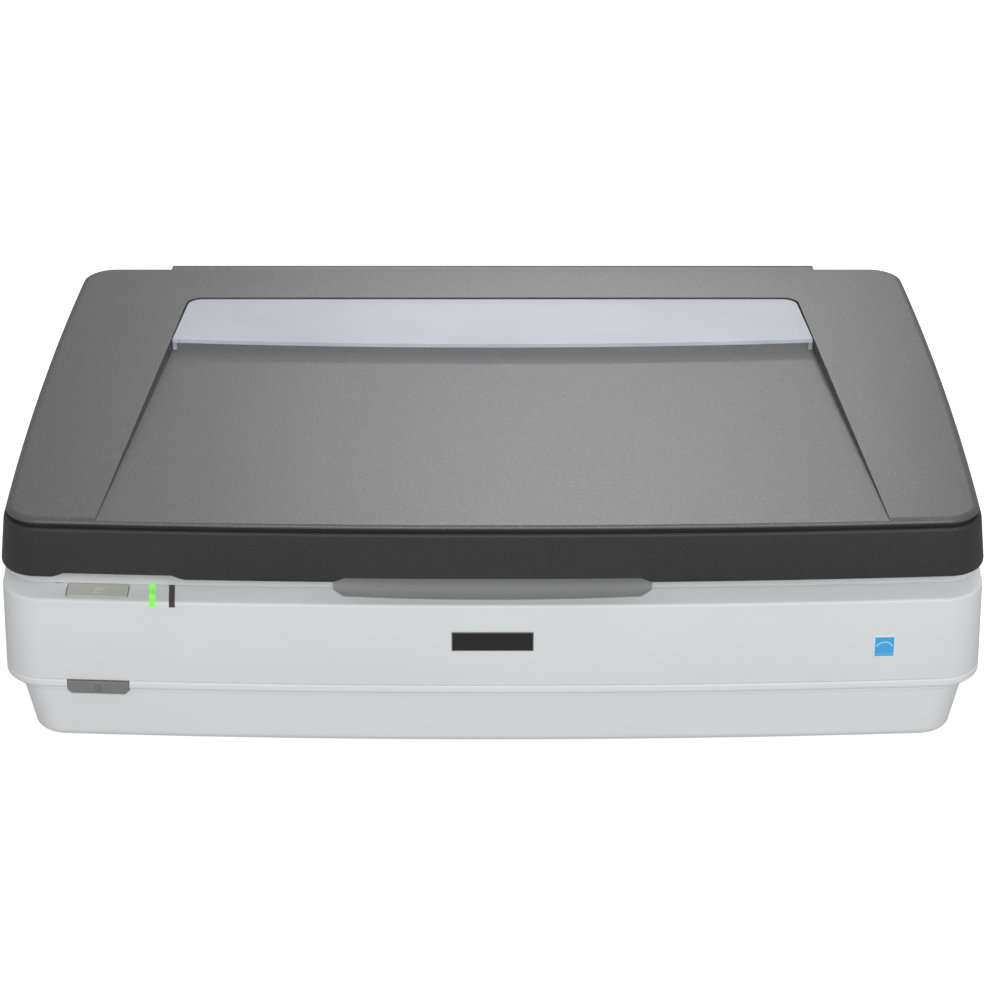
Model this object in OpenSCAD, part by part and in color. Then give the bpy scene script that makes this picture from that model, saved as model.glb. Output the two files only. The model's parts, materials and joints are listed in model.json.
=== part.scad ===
// Large-format flatbed scanner: hinged lid on rising posts over a glass platen and a driven carriage.
// Frame: X to the right, Y towards the back, Z up; origin on the ground under the middle of the case.

/* [Overall] */
// Width at the widest part of the case
case_w = 656; // [620:1:790]
// Depth from the lid's front edge to the back of the hinge housing
case_d = 458; // [440:1:560]
// Height with the lid closed
case_h = 167; // [160:1:200]

/* [Case] */
// Height of the lower case
lower_h = 45.4; // [43:0.1:55]
// Radius of the case's upright corners
corner_r = 27; // [22:1:33]
// How far the front edge bows forward in the middle
front_bow = 8.5; // [4:0.5:11]
// How far the sides draw in towards the back
side_bow = 6.4; // [3:0.1:8]

/* [Lid] */
// Thickness of the closed lid
lid_h = 40; // [38:0.5:50]
// Fall of the document pocket's ramp, in millimetres for each millimetre of depth
ramp_fall = 0.0316; // [0.02:0.001:0.034]
// Distance between the two hinge posts
hinge_spread = 380; // [300:1:400]

/* [Scanning] */
// Length of the window under the glass
window_l = 450; // [420:1:460]
// Width of the window under the glass
window_w = 320; // [280:1:326]
// Thickness of the platen glass
glass_t = 4; // [3:0.1:4.5]

/* [Controls] */
// Width of the start button
start_button_w = 40.4; // [28:0.2:48]
// Width of the power button
power_button_w = 41; // [28:0.2:48]

/* [Hidden] */
$fn = 48;
CORNER_STEPS = 7;
FRONT_STEPS = 14;
SIDE_STEPS = 8;
EDGE_SPREAD = 0.05;     // makes a cutting tool pass clear through the face it opens
GAP = 0.3;              // running gap between separate moving pieces

half_w = case_w / 2;
front_y = -case_d / 2;
rear_y = case_d / 2;
housing_d = 22;                         // depth of the hinge housing behind the main case
main_rear = rear_y - housing_d;
widest_y = front_y + 147;
bow_reach = half_w - 38;                // the front bow is measured this far from the middle
foot_h = 3;
wall = 3;

// heights
seam_z = foot_h + lower_h;              // where the two cases meet
lid_z = case_h - lid_h;                 // lower edge of the closed lid
deck_z = lid_z - 3;                     // platen deck
frame_z = deck_z - 13;                  // lower edge of the platen frame
shelf_z = frame_z - 3.6;                // front edge of the control shelf
panel_z = lid_z + lid_h - 4.2;          // seam between the lid's skirt and its top panel
lid_in = 3;                             // how far the lid's sides stand in from the case's
lid_r = corner_r - 3;                   // radius of the lid's upright corners
housing_z = deck_z - 6;                 // top of the hinge housing
housing_half = hinge_spread / 2 + 60;   // half its width, and half the width of the lid's bump over it

// control shelf
shelf_front = front_y + 8.5;
shelf_rear = front_y + 22.8;
shelf_slope = atan((frame_z - shelf_z) / (shelf_rear - shelf_front));
front_wall_low = front_y + 3.7;         // front wall at the case seam
front_wall_high = front_y + 6.5;        // front wall just under the shelf
front_lean = atan((front_wall_high - front_wall_low) / (shelf_z - 2 - seam_z));
start_x = -half_w + 67.3;
power_x = -half_w + 66;
status_light_x = -half_w + 104.5;
error_light_x = -half_w + 117.5;
light_w = 3.9;
light_d = 18.2;                         // length of an indicator window along the shelf
start_button_d = 12.8;
start_button_front = 1.9;               // from the shelf's front edge to the button
pad_d = 8;                              // how far the shelf runs on under the lid there
controls = [-half_w + 39.9, -half_w + 127.7];   // ends of the lid's cut-back over the controls
power_button_h = 9;
grip_half = 105;                        // half the width of the finger recess
notches = [[-grip_half, grip_half], controls];  // where the lid's lower edge is cut back
notch_rise = 3.7;                       // how high it is cut back
notch_d = 22;                           // how far behind the lid's front the cut-back reaches
grip_front = front_y + 12.5;            // front edge of the finger recess, in the middle

// glass and lid
glass_y = -3;                           // middle of the glass, from the middle of the case
glass_lap = 8;                          // how far the glass laps onto its ledge
glass_l = window_l + 2 * glass_lap;
glass_w = window_w + 2 * glass_lap;
pocket_rear = main_rear - 57;           // rear wall of the document pocket
pocket_front = front_y - 1;
pocket_taper = 0.0782;                  // how fast the pocket narrows towards the back
plate_front = pocket_rear - 86;         // front edge of the pocket plate in the middle
plate_t = 2.8;
plate_z = case_h - 3;                   // underside of the pocket plate

// hinges
hinge_y = rear_y - 10;
hinge_z = lid_z + 23;
post_half = 22;
post_t = 10;
knuckle_half = 15;
knuckle_r = 5.5;
pin_r = 3;
ear_inner = post_half + 1.5;
socket_t = 1.2;
lift_travel = 40;

// carriage and drive
plate_top = 17.5;                       // upper face of the chassis plate
carriage_w = 84;
slit_x = -window_l / 2 - 8;             // the scan slit's resting place, under the white strip
carriage_travel = window_l + 5;
carriage_low = 62;
carriage_top = frame_z + 3;
lens_z = carriage_low + 25;
carriage_front = glass_y - glass_w / 2 + 1;
carriage_rear = glass_y + glass_w / 2 - 1;
shaft_r = 4;
shaft_y = 110;
shaft_z = 52;
rail_y = -140;
gear_module = 0.6;
gear_teeth = 54;
pinion_teeth = 18;
gear_z = 38;
gear_t = 5;
pulley_r = 12;
belt_t = 1.2;
belt_y = 72;
belt_z = 44.5;
belt_h = 5;
drive_x = window_l / 2 + 37;            // pulley at the motor's end
idler_x = -window_l / 2 - 50;           // pulley at the far end
motor_y = belt_y - gear_module * (gear_teeth + pinion_teeth) / 2;

// electronics
board_z = 22;
rear_wall_y = main_rear - 2;            // outer face of the lower case's rear wall
ports_x = [90, 205];
inlet_x = -190;

light_grey = [0.80, 0.81, 0.82];
mid_grey = [0.46, 0.47, 0.46];
charcoal = [0.20, 0.20, 0.21];
lid_grey = [0.48, 0.48, 0.49];
black = [0.08, 0.08, 0.08];
steel = [0.65, 0.66, 0.68];
board_green = [0.08, 0.34, 0.18];
white = [0.92, 0.92, 0.90];
smoke = [0.72, 0.72, 0.80, 0.6];
clear = [0.75, 0.85, 0.85, 0.35];
lit_green = [0.20, 0.85, 0.35];
brass = [0.80, 0.65, 0.30];

// One node, or all of them

// ---------- outlines ----------

// How far the front edge has drawn back at x
function bow_at(x) = front_bow * pow(x / bow_reach, 2);

// Turn of the front edge at x, in degrees
function bow_angle(x) = atan(2 * front_bow * x / pow(bow_reach, 2));

// Bends a point of a straight-sided outline to the case's bowed one
function bowed(p) = [
    p.x * (1 - side_bow / half_w * pow((p.y - widest_y) / 240, 2)),
    p.y + bow_at(p.x) * (main_rear - p.y) / (main_rear - front_y)
];

function corner(x, y, r, from) = [
    for (i = [0 : CORNER_STEPS])
        let (a = from + 90 * i / CORNER_STEPS)
        [x + r * cos(a), y + r * sin(a)]
];

// The case's outline, drawn in from its widest by side, front and rear, with corner radius r
function outline(side, front, rear, r) =
    let (w = half_w - side, f = front_y + front, b = main_rear - rear)
    [for (p = concat(
        [for (i = [1 : FRONT_STEPS - 1]) [-w + r + 2 * (w - r) * i / FRONT_STEPS, f]],
        corner(w - r, f + r, r, -90),
        [for (i = [1 : SIDE_STEPS - 1]) [w, f + r + (b - f - 2 * r) * i / SIDE_STEPS]],
        corner(w - r, b - r, r, 0),
        corner(r - w, b - r, r, 90),
        [for (i = [1 : SIDE_STEPS - 1]) [-w, b - r - (b - f - 2 * r) * i / SIDE_STEPS]],
        corner(r - w, f + r, r, 180)
    )) bowed(p)];

// ---------- shared shapes ----------

// A solid skinned over outlines; each level is [z, side, front, rear, corner radius]
module loft(levels) {
    rings = [for (l = levels) [for (p = outline(l[1], l[2], l[3], l[4])) [p.x, p.y, l[0]]]];
    n = len(rings[0]);
    top = len(rings) - 1;
    low_cap = [for (i = [0 : n - 1]) i];
    high_cap = [for (i = [n - 1 : -1 : 0]) top * n + i];
    skin = [
        for (k = [0 : top - 1], i = [0 : n - 1])
            let (a = k * n + i, d = k * n + (i + 1) % n)
            each [[a, a + n, d + n], [a, d + n, d]]
    ];
    polyhedron(points = [for (r = rings) each r], faces = concat([low_cap, high_cap], skin));
}

// A box between two corners given axis by axis
module block(x, y, z) {
    translate([x[0], y[0], z[0]])
        cube([x[1] - x[0], y[1] - y[0], z[1] - z[0]]);
}

// A box with rounded upright edges
module slab(x, y, z, r) {
    block([x[0] + r, x[1] - r], y, z);
    block(x, [y[0] + r, y[1] - r], z);
    for (cx = [x[0] + r, x[1] - r], cy = [y[0] + r, y[1] - r])
        translate([cx, cy, z[0]])
            cylinder(r = r, h = z[1] - z[0]);
}

// A rod along X between two ends
module rod_x(x, y, z, r) {
    translate([x[0], y, z])
        rotate([0, 90, 0])
            cylinder(r = r, h = x[1] - x[0]);
}

// A rod along Y between two ends
module rod_y(x, y, z, r) {
    translate([x, y[0], z])
        rotate([-90, 0, 0])
            cylinder(r = r, h = y[1] - y[0]);
}

// A section in Y and Z drawn along X
module along_x(x, section) {
    translate([x[0], 0, 0])
        rotate([90, 0, 90])
            linear_extrude(x[1] - x[0])
                polygon(section);
}

// Children on the control shelf: local Y runs up the shelf from its front edge, local Z out of it
module on_shelf(x) {
    translate([x, shelf_front + bow_at(x), shelf_z])
        rotate([0, 0, bow_angle(x)])
            rotate([shelf_slope, 0, 0])
                children();
}

// Children on the upper case's front wall: local Z runs up the wall, local -Y out of it
module on_front(x, z) {
    translate([x, front_wall_low + (z - seam_z) * tan(front_lean) + bow_at(x), z])
        rotate([0, 0, bow_angle(x)])
            rotate([-front_lean, 0, 0])
                children();
}

// Children at both hinges
module at_hinges() {
    for (x = [-hinge_spread / 2, hinge_spread / 2])
        translate([x, 0, 0])
            children();
}

// Close-wound wire along X: rings of wire that just meet
module coil_x(x, y, z, coil_r, wire_r) {
    turns = floor((x[1] - x[0]) / (2 * wire_r));
    for (i = [0 : turns - 1])
        translate([x[0] + wire_r * (2 * i + 1), y, z])
            rotate([0, 90, 0])
                rotate_extrude()
                    translate([coil_r, 0])
                        circle(r = wire_r * 1.02, $fn = 24);
}

// ---------- cases ----------

screw_spots = [
    for (sx = [-1, 1]) each [[sx * (half_w - 58), front_y + 48], [sx * (half_w - 62), main_rear - 34]]
];

module lower_case_shell() {
    difference() {
        loft([
            [foot_h, 24, 12, 6, corner_r - 10],
            [foot_h + 1.5, 20.5, 8.5, 3, corner_r - 8],
            [foot_h + 5, 18, 6.5, 2, corner_r - 7],
            [seam_z - 6.5, 11, 4, 2, corner_r - 7],
            [seam_z - 6, 3.5, 4, 1, corner_r - 2.5],
            [seam_z - 3.5, 0, 2.5, 0, corner_r],
            [seam_z - 0.6, 0, 2.7, 0, corner_r],
            [seam_z, 0.6, 3.3, 0.6, corner_r - 0.6]
        ]);
        loft([
            [foot_h + wall, 26, 14, 8, corner_r - 13],
            [foot_h + wall + 3, 21, 9.5, 5.5, corner_r - 10],
            [seam_z + EDGE_SPREAD, 14, 7.5, 5, corner_r - 10]
        ]);
    }
}

module lower_case() {
    color(light_grey)
    difference() {
        union() {
            lower_case_shell();
            for (p = screw_spots)
                translate([p.x, p.y, foot_h + 1])
                    cylinder(r = 5, h = seam_z - foot_h - 1);
            for (p = plate_spots)
                translate([p.x, p.y, foot_h + 1])
                    cylinder(r = 6, h = plate_top - 1.5 - foot_h - 1);
        }
        for (p = screw_spots)
            translate([p.x, p.y, foot_h - 1])
                cylinder(r = 1.8, h = seam_z);
        for (p = screw_spots)
            translate([p.x, p.y, foot_h - 1])
                cylinder(r = 3.6, h = 4);
        power_button_hole();
        block(ports_x, [rear_wall_y - 6, main_rear + 2], [14, 40]);
        block([inlet_x - 14, inlet_x + 14], [rear_wall_y - 6, main_rear + 2], [17.8, 38.2]);
    }
}

// The upper case's whole outer form, without its hollow
module upper_case_form() {
    loft([
        [seam_z, 0.9, 4.4, 0.8, corner_r - 0.8],
        [seam_z + 1, 0, 3.7, 0, corner_r],
        [shelf_z - 2, 1, 6.5, 0.5, corner_r],
        [shelf_z, 1.2, 8.5, 0.7, corner_r],
        [frame_z, 1.6, 22.8, 1, corner_r]
    ]);
}

module upper_case() {
    color(light_grey)
    difference() {
        union() {
            difference() {
                upper_case_form();
                loft([
                    [seam_z - EDGE_SPREAD, 5, 8, 4, corner_r - 3],
                    [shelf_z - 3.4, 4.5, 10.5, 4, corner_r - 3],
                    [shelf_z + 0.1, 6, 25, 5, corner_r - 6],
                    [frame_z + EDGE_SPREAD, 6, 26, 5, corner_r - 6]
                ]);
            }
            hinge_housing();
            control_pad(0);
        }
        grip_block();
        start_button_hole();
        light_pocket(status_light_x);
        light_pocket(error_light_x);
        name_plate_form();
        front_label_form();
        lock_window();
    }
}

// The part of the shelf that runs on under the lid around the controls, grown by extra
module control_pad(extra) {
    rise = pad_d * tan(shelf_slope);
    intersection() {
        loft([
            [frame_z - 3 - extra, 3, 20 - extra, 3, corner_r],
            [frame_z + extra, 3, 22.8 - extra, 3, corner_r],
            [frame_z + rise + extra, 3, 22.8 + pad_d - extra, 3, corner_r]
        ]);
        block([controls[0] + 2 - extra, controls[1] - 2 + extra],
              [front_y, shelf_rear + pad_d + front_bow + extra], [frame_z - 4, frame_z + rise + 1]);
    }
}

// The housing behind the case that holds the hinge sockets
module hinge_housing() {
    difference() {
        slab([-housing_half, housing_half], [main_rear - 2, rear_y - 1], [seam_z + 1, housing_z], 1.8);
        block([-housing_half - 1, housing_half + 1], [main_rear - 4, main_rear - 1.2 + GAP],
              [frame_z, housing_z + 1]);
        block([wall - housing_half, housing_half - wall], [main_rear + 2.5, rear_y - 3.5],
              [seam_z + 4, housing_z - 3]);
        at_hinges()
            block([-post_half - 1.5, post_half + 1.5], [hinge_y - 6.5, hinge_y + 6.5],
                  [housing_z - 4, housing_z + 1]);
    }
}

module hinge_sockets() {
    color(steel)
    at_hinges()
        difference() {
            union() {
                block([-post_half - 1.5, post_half + 1.5], [hinge_y - 6.5, hinge_y + 6.5],
                      [seam_z + 7, housing_z + 1]);
                block([-post_half - 4, post_half + 4], [hinge_y - 8, hinge_y + 8],
                      [housing_z, housing_z + 1]);
            }
            block([-post_half - GAP, post_half + GAP],
                  [hinge_y - post_t / 2 - GAP, hinge_y + post_t / 2 + GAP],
                  [seam_z + 8.2, housing_z + 2]);
        }
}

module platen_frame() {
    ledge = [-glass_l / 2 - 4, glass_l / 2 + 4];
    color(light_grey)
    difference() {
        union() {
            difference() {
                loft([
                    [frame_z, 2.3, 23.6, 1.8, corner_r - 0.7],
                    [frame_z + 0.6, 1.7, 23, 1.2, corner_r],
                    [deck_z - 2.5, 4.2, 25.5, 3, corner_r - 2],
                    [deck_z, 6.5, 28, 5, corner_r - 4]
                ]);
                loft([
                    [frame_z - EDGE_SPREAD, 7, 27, 6, corner_r - 5],
                    [deck_z - glass_t, 8.5, 29.5, 7, corner_r - 6]
                ]);
            }
            block(ledge, [glass_y - glass_w / 2 - 4, glass_y + glass_w / 2 + 4],
                  [deck_z - glass_t - 3, deck_z - 1]);
        }
        block([-window_l / 2, window_l / 2],
              [glass_y - window_w / 2, glass_y + window_w / 2], [frame_z, deck_z + 1]);
        slab([-glass_l / 2 - GAP, glass_l / 2 + GAP],
             [glass_y - glass_w / 2 - GAP, glass_y + glass_w / 2 + GAP],
             [deck_z - glass_t, deck_z + 1], 3);
        grip_block();
        control_pad(GAP);
    }
}

module platen_glass() {
    color(clear)
    slab([-glass_l / 2, glass_l / 2], [glass_y - glass_w / 2, glass_y + glass_w / 2],
         [deck_z - glass_t, deck_z - 0.1], 3);
}

module white_reference_strip() {
    color(white)
    block([slit_x - 6, slit_x + 6], [glass_y - window_w / 2, glass_y + window_w / 2],
          [deck_z - glass_t - 3.8, deck_z - glass_t - 3]);
}

// ---------- front controls and trim ----------

// Plan of the finger recess, drawn in by inset: an arched front edge and slanted ends
function grip_outline(inset) = concat(
    [for (i = [-6 : 6])
        let (x = (grip_half - 7 - inset) * i / 6)
        [x, grip_front + inset + 3.4 * pow(x / (grip_half - 7), 2)]],
    [[grip_half - inset, shelf_rear - 0.5], [grip_half - inset, shelf_rear + 2.2 - inset],
     [inset - grip_half, shelf_rear + 2.2 - inset], [inset - grip_half, shelf_rear - 0.5]]
);

// What the finger recess takes out of the shelf and of the platen frame behind it
module grip_block() {
    translate([0, 0, shelf_z - 11])
        linear_extrude(frame_z + 9 - shelf_z + 11)
            polygon(grip_outline(0));
}

module grip_insert() {
    floor_z = shelf_z - 8.5;
    color(mid_grey)
    difference() {
        union() {
            intersection() {
                upper_case_form();
                grip_block();
            }
            block([-grip_half, grip_half], [shelf_rear + 0.2, shelf_rear + 2.2], [frame_z - 1, frame_z + 9]);
        }
        intersection() {
            translate([0, 0, floor_z])
                linear_extrude(40)
                    polygon(grip_outline(1.4));
            along_x([-grip_half, grip_half], [
                [grip_front, frame_z + 1], [grip_front + 1.4, shelf_z - 1.5],
                [grip_front + 3, shelf_z - 6], [grip_front + 5.5, floor_z],
                [shelf_rear - 1.5, floor_z], [shelf_rear + 0.2, floor_z + 2],
                [shelf_rear + 0.2, frame_z + 10], [grip_front, frame_z + 10]
            ]);
        }
    }
}

module start_button_hole() {
    on_shelf(start_x)
        slab([-start_button_w / 2 - GAP, start_button_w / 2 + GAP],
             [start_button_front - GAP, start_button_front + start_button_d + GAP], [-7, 6], 2.6);
}

module start_button() {
    color(mid_grey)
    on_shelf(start_x) {
        slab([-start_button_w / 2, start_button_w / 2],
             [start_button_front, start_button_front + start_button_d], [-6, 0.6], 2.3);
        block([-start_button_w / 2 - 2, start_button_w / 2 + 2],
              [start_button_front + 1.5, start_button_d], [-6.2, -4.8]);
    }
}

// The shape of an indicator window, wrapped a little over the shelf's front edge
module light_form() {
    along_x([-light_w / 2, light_w / 2], [
        [-2.4, -1.5], [-0.2, 0.25], [light_d, 0.25], [light_d, -1.4], [1, -1.4], [1, -3.5], [-1.6, -3.5]
    ]);
}

module light_pocket(x) {
    on_shelf(x)
        light_form();
}

module status_light() {
    color(lit_green)
    light_pocket(status_light_x);
}

module error_light() {
    color(mid_grey)
    light_pocket(error_light_x);
}

// The power button's face, with its lower corners cut off, grown by extra and upwards by top
module power_button_face(depth, extra, top) {
    w = power_button_w / 2 + extra;
    h = power_button_h / 2 + extra;
    cut = 2.6;
    translate([power_x, front_y + 2.3 + bow_at(power_x), seam_z - power_button_h / 2 - GAP])
        rotate([0, 0, bow_angle(power_x)])
            translate([0, depth[1], 0])
                rotate([90, 0, 0])
                    linear_extrude(depth[1] - depth[0])
                        polygon([
                            [-w, h + top], [-w, cut - h], [cut - w, -h],
                            [w - cut, -h], [w, cut - h], [w, h + top]
                        ]);
}

module power_button_hole() {
    power_button_face([-6, 12], GAP, 1);
}

module power_button() {
    color(mid_grey)
    union() {
        power_button_face([0, 9], 0, 0);
        power_button_face([7.8, 9.2], 1.6, 0);
    }
}

module name_plate_form() {
    on_front(0, seam_z + 32.8)
        block([-27, 27], [-0.7, 0.6], [-6.9, 6.9]);
}

module front_label_form() {
    on_front(half_w - 69.2, seam_z + 25.4)
        block([-7.1, 7.1], [-0.4, 0.6], [-7.8, 7.8]);
}

module name_plate() {
    color(black)
    name_plate_form();
}

module front_label() {
    color([0.62, 0.70, 0.85])
    front_label_form();
}

module lock_window() {
    block([-half_w - 3, -half_w + 9], [widest_y - 20, widest_y + 20], [67, 77]);
}

module transport_lock() {
    color(mid_grey)
    union() {
        block([-half_w + 5.6, -half_w + 7.6], [widest_y - 32, widest_y + 24], [63, 81]);
        block([-half_w + 1.2, -half_w + 6], [widest_y - 19.5, widest_y - 1.5], [67.4, 76.6]);
        block([-half_w + 7, -half_w + 30], [widest_y - 12, widest_y - 8], [69, 75]);
    }
}

module rubber_feet() {
    color(black)
    for (sx = [-1, 1], y = [front_y + 50, main_rear - 50])
        translate([sx * (half_w - 88), y, 0])
            cylinder(r = 11, h = foot_h);
}

module case_screws() {
    color(steel)
    for (p = screw_spots) {
        translate([p.x, p.y, foot_h + 0.6])
            cylinder(r = 3.3, h = 2.2);
        translate([p.x, p.y, foot_h + 0.6])
            cylinder(r = 1.6, h = seam_z - foot_h - 6);
    }
}

// ---------- chassis and drive ----------

plate_spots = [
    for (sx = [-1, 1], sy = [-1, 1]) [sx * (half_w - 78), sy * (main_rear - 57)]
];

module chassis_plate() {
    color(steel)
    difference() {
        union() {
            slab([48 - half_w, half_w - 48], [22 - main_rear, main_rear - 22],
                 [plate_top - 1.5, plate_top], 8);
            for (x = [50, 210], y = [main_rear - 80, main_rear - 27])
                translate([x, y, plate_top - 0.5])
                    cylinder(r = 3, h = board_z - plate_top + 0.5);
        }
        for (x = [-140, 0, 140])
            translate([x, -70, plate_top - 3])
                cylinder(r = 30, h = 6);
        for (p = screw_spots)
            translate([p.x, p.y, plate_top - 3])
                cylinder(r = 5 + GAP, h = 6);
    }
}

module guide_shaft() {
    color(steel)
    rod_x([-half_w + 50, half_w - 50], shaft_y, shaft_z, shaft_r);
}

module shaft_clamps() {
    color(black)
    for (s = [-1, 1])
        difference() {
            block([s * (half_w - 53) - 5, s * (half_w - 53) + 5], [shaft_y - 7, shaft_y + 7],
                  [plate_top, shaft_z + 6]);
            rod_x([s * (half_w - 53) - 6, s * (half_w - 53) + 6], shaft_y, shaft_z, shaft_r);
        }
}

module guide_rail() {
    color(steel)
    along_x([52 - half_w, half_w - 52], [
        [rail_y - 6, plate_top], [rail_y + 12, plate_top], [rail_y + 12, plate_top + 1.5],
        [rail_y - 4.5, plate_top + 1.5], [rail_y - 4.5, shaft_z + 1], [rail_y + 7, shaft_z + 1],
        [rail_y + 7, shaft_z + 2.5], [rail_y - 6, shaft_z + 2.5]
    ]);
}

module drive_motor() {
    color(steel)
    translate([drive_x, motor_y, plate_top]) {
        cylinder(r = 17.5, h = gear_z - plate_top - 2);
        cylinder(r = 6, h = gear_z - plate_top - 0.8);
        cylinder(r = 1.5, h = gear_z - plate_top + gear_t + 2);
    }
}

module pulley_axles() {
    color(steel)
    for (x = [drive_x, idler_x])
        translate([x, belt_y, plate_top])
            cylinder(r = 2.5, h = belt_z + belt_h + 2.5 - plate_top);
}

module idler_bracket() {
    color(steel)
    difference() {
        union() {
            block([idler_x - 12, idler_x + 30], [belt_y - 9, belt_y + 9], [plate_top, plate_top + 1.5]);
            block([idler_x + 28.5, idler_x + 30], [belt_y - 9, belt_y + 9], [plate_top, plate_top + 12]);
        }
        translate([idler_x, belt_y, plate_top - 1])
            cylinder(r = 2.5, h = 4);
    }
}

module tension_spring() {
    color(steel)
    union() {
        coil_x([idler_x + 32, idler_x + 52], belt_y, plate_top + 7, 3, 0.8);
        block([idler_x + 51.5, idler_x + 54], [belt_y - 4, belt_y + 4], [plate_top, plate_top + 12]);
        rod_x([idler_x + 30, idler_x + 52], belt_y, plate_top + 7, 2.4);
    }
}

// A loop of belt outline: two half rounds joined by straights
module belt_loop(r, z) {
    for (x = [drive_x, idler_x])
        translate([x, belt_y, z[0]])
            cylinder(r = r, h = z[1] - z[0]);
    block([idler_x, drive_x], [belt_y - r, belt_y + r], z);
}

module drive_belt() {
    color(black)
    difference() {
        belt_loop(pulley_r + GAP + belt_t, [belt_z, belt_z + belt_h]);
        belt_loop(pulley_r + GAP, [belt_z - 1, belt_z + belt_h + 1]);
    }
}

// The involute of an angle, in degrees
function involute(a) = tan(a) * 180 / PI - a;

// Half the angle that a tooth fills at radius r, with a little backlash
function tooth_half(teeth, r) =
    let (pitch = gear_module * teeth / 2, base = pitch * cos(20))
    (90 / teeth) - (0.05 / pitch * 180 / PI) + involute(20) - (r > base ? involute(acos(base / r)) : 0);

// Outline of a gear with a tooth centred on the angle turn
function gear_outline(teeth, turn) =
    let (root = gear_module * (teeth / 2 - 1.15), tip = gear_module * (teeth / 2 + 0.85), steps = 4)
    [for (t = [0 : teeth - 1])
        let (mid = turn + 360 * t / teeth)
        each concat(
            [for (k = [0 : steps]) let (r = root + (tip - root) * k / steps, a = mid - tooth_half(teeth, r))
                [r * cos(a), r * sin(a)]],
            [for (k = [steps : -1 : 0]) let (r = root + (tip - root) * k / steps, a = mid + tooth_half(teeth, r))
                [r * cos(a), r * sin(a)]]
        )];

module motor_pinion() {
    color(brass)
    translate([drive_x, motor_y, gear_z])
        difference() {
            linear_extrude(gear_t)
                polygon(gear_outline(pinion_teeth, 180 / pinion_teeth));
            translate([0, 0, -1])
                cylinder(r = 1.55, h = gear_t + 2);
        }
}

// The toothed belt pulley with a lip above and below
module pulley_body() {
    cylinder(r = pulley_r + 2, h = 1);
    cylinder(r = pulley_r, h = belt_h + 2.6);
    translate([0, 0, belt_h + 1.6])
        cylinder(r = pulley_r + 2, h = 1);
}

module reduction_gear() {
    color(white)
    translate([drive_x, belt_y, gear_z])
        difference() {
            union() {
                linear_extrude(gear_t)
                    polygon(gear_outline(gear_teeth, 0));
                translate([0, 0, gear_t - 0.1])
                    cylinder(r = 9, h = 0.6);
                translate([0, 0, belt_z - gear_z - 1.3])
                    pulley_body();
            }
            translate([0, 0, -1])
                cylinder(r = 2.56, h = 20);
        }
}

module idler_pulley() {
    color(white)
    translate([idler_x, belt_y, belt_z - 1.3])
        difference() {
            pulley_body();
            translate([0, 0, -1])
                cylinder(r = 2.56, h = 20);
        }
}

// ---------- electronics ----------

module main_board() {
    color(board_green)
    block([40, 220], [main_rear - 85, main_rear - 22], [board_z, board_z + 1.6]);
}

module main_board_chips() {
    spots = [[70, -60, 24, 24], [120, -62, 14, 20], [150, -62, 14, 20], [190, -58, 18, 10], [75, -32, 20, 8]];
    color(black)
    for (s = spots)
        block([s[0] - s[2] / 2, s[0] + s[2] / 2], [main_rear + s[1] - s[3] / 2, main_rear + s[1] + s[3] / 2],
              [board_z + 1.6, board_z + 4]);
}

module power_supply() {
    x = [inlet_x - 60, inlet_x + 60];
    y = [main_rear - 89, main_rear - 29];
    color(steel)
    difference() {
        block(x, y, [plate_top, 42]);
        for (i = [0 : 9])
            block([x[0] + 15 + 9 * i, x[0] + 19 + 9 * i], [y[0] + 10, y[1] - 10], [40, 43]);
    }
}

module ac_inlet() {
    color(black)
    difference() {
        union() {
            block([inlet_x - 13.5, inlet_x + 13.5], [rear_wall_y - 22, rear_wall_y + 1], [18.3, 37.7]);
            block([inlet_x - 15.5, inlet_x + 15.5], [rear_wall_y, rear_wall_y + 1.8], [16.5, 39.5]);
        }
        slab([inlet_x - 12, inlet_x + 12], [rear_wall_y - 14, main_rear + 3], [19.8, 36.2], 1);
        inlet_pin_forms();
    }
}

module inlet_pin_forms() {
    for (p = [[-7, 27], [0, 31], [7, 27]])
        block([inlet_x + p[0] - 1, inlet_x + p[0] + 1], [rear_wall_y - 20, rear_wall_y - 2],
              [p[1] - 2, p[1] + 2]);
}

module ac_inlet_pins() {
    color(brass)
    inlet_pin_forms();
}

module rear_connector_plate() {
    color(steel)
    difference() {
        block([ports_x[0] + 0.2, ports_x[1] - 0.2], [rear_wall_y - 2, rear_wall_y - 0.6], [14.2, 39.8]);
        block([ports_x[0] + 14, ports_x[0] + 28], [rear_wall_y - 4, main_rear + 2], [22.6, 35.4]);
        block([ports_x[0] + 48, ports_x[0] + 86], [rear_wall_y - 4, main_rear + 2], [22.6, 35.4]);
    }
}

module usb_port() {
    x = [ports_x[0] + 15, ports_x[0] + 27];
    color(steel)
    union() {
        difference() {
            block(x, [rear_wall_y - 24, rear_wall_y - 0.2], [board_z + 1.6, board_z + 12.6]);
            block([x[0] + 1.2, x[1] - 1.2], [rear_wall_y - 12, rear_wall_y + 1], [board_z + 2.6, board_z + 11.6]);
        }
        block([x[0] + 3.6, x[1] - 3.6], [rear_wall_y - 13, rear_wall_y - 4], [board_z + 8.2, board_z + 9.8]);
    }
}

module accessory_port() {
    x = [ports_x[0] + 49, ports_x[0] + 85];
    color(steel)
    difference() {
        block(x, [rear_wall_y - 24, rear_wall_y - 0.2], [board_z + 1.6, board_z + 12.6]);
        block([x[0] + 2, x[1] - 2], [rear_wall_y - 8, rear_wall_y + 1], [board_z + 3.2, board_z + 11]);
    }
}

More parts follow.
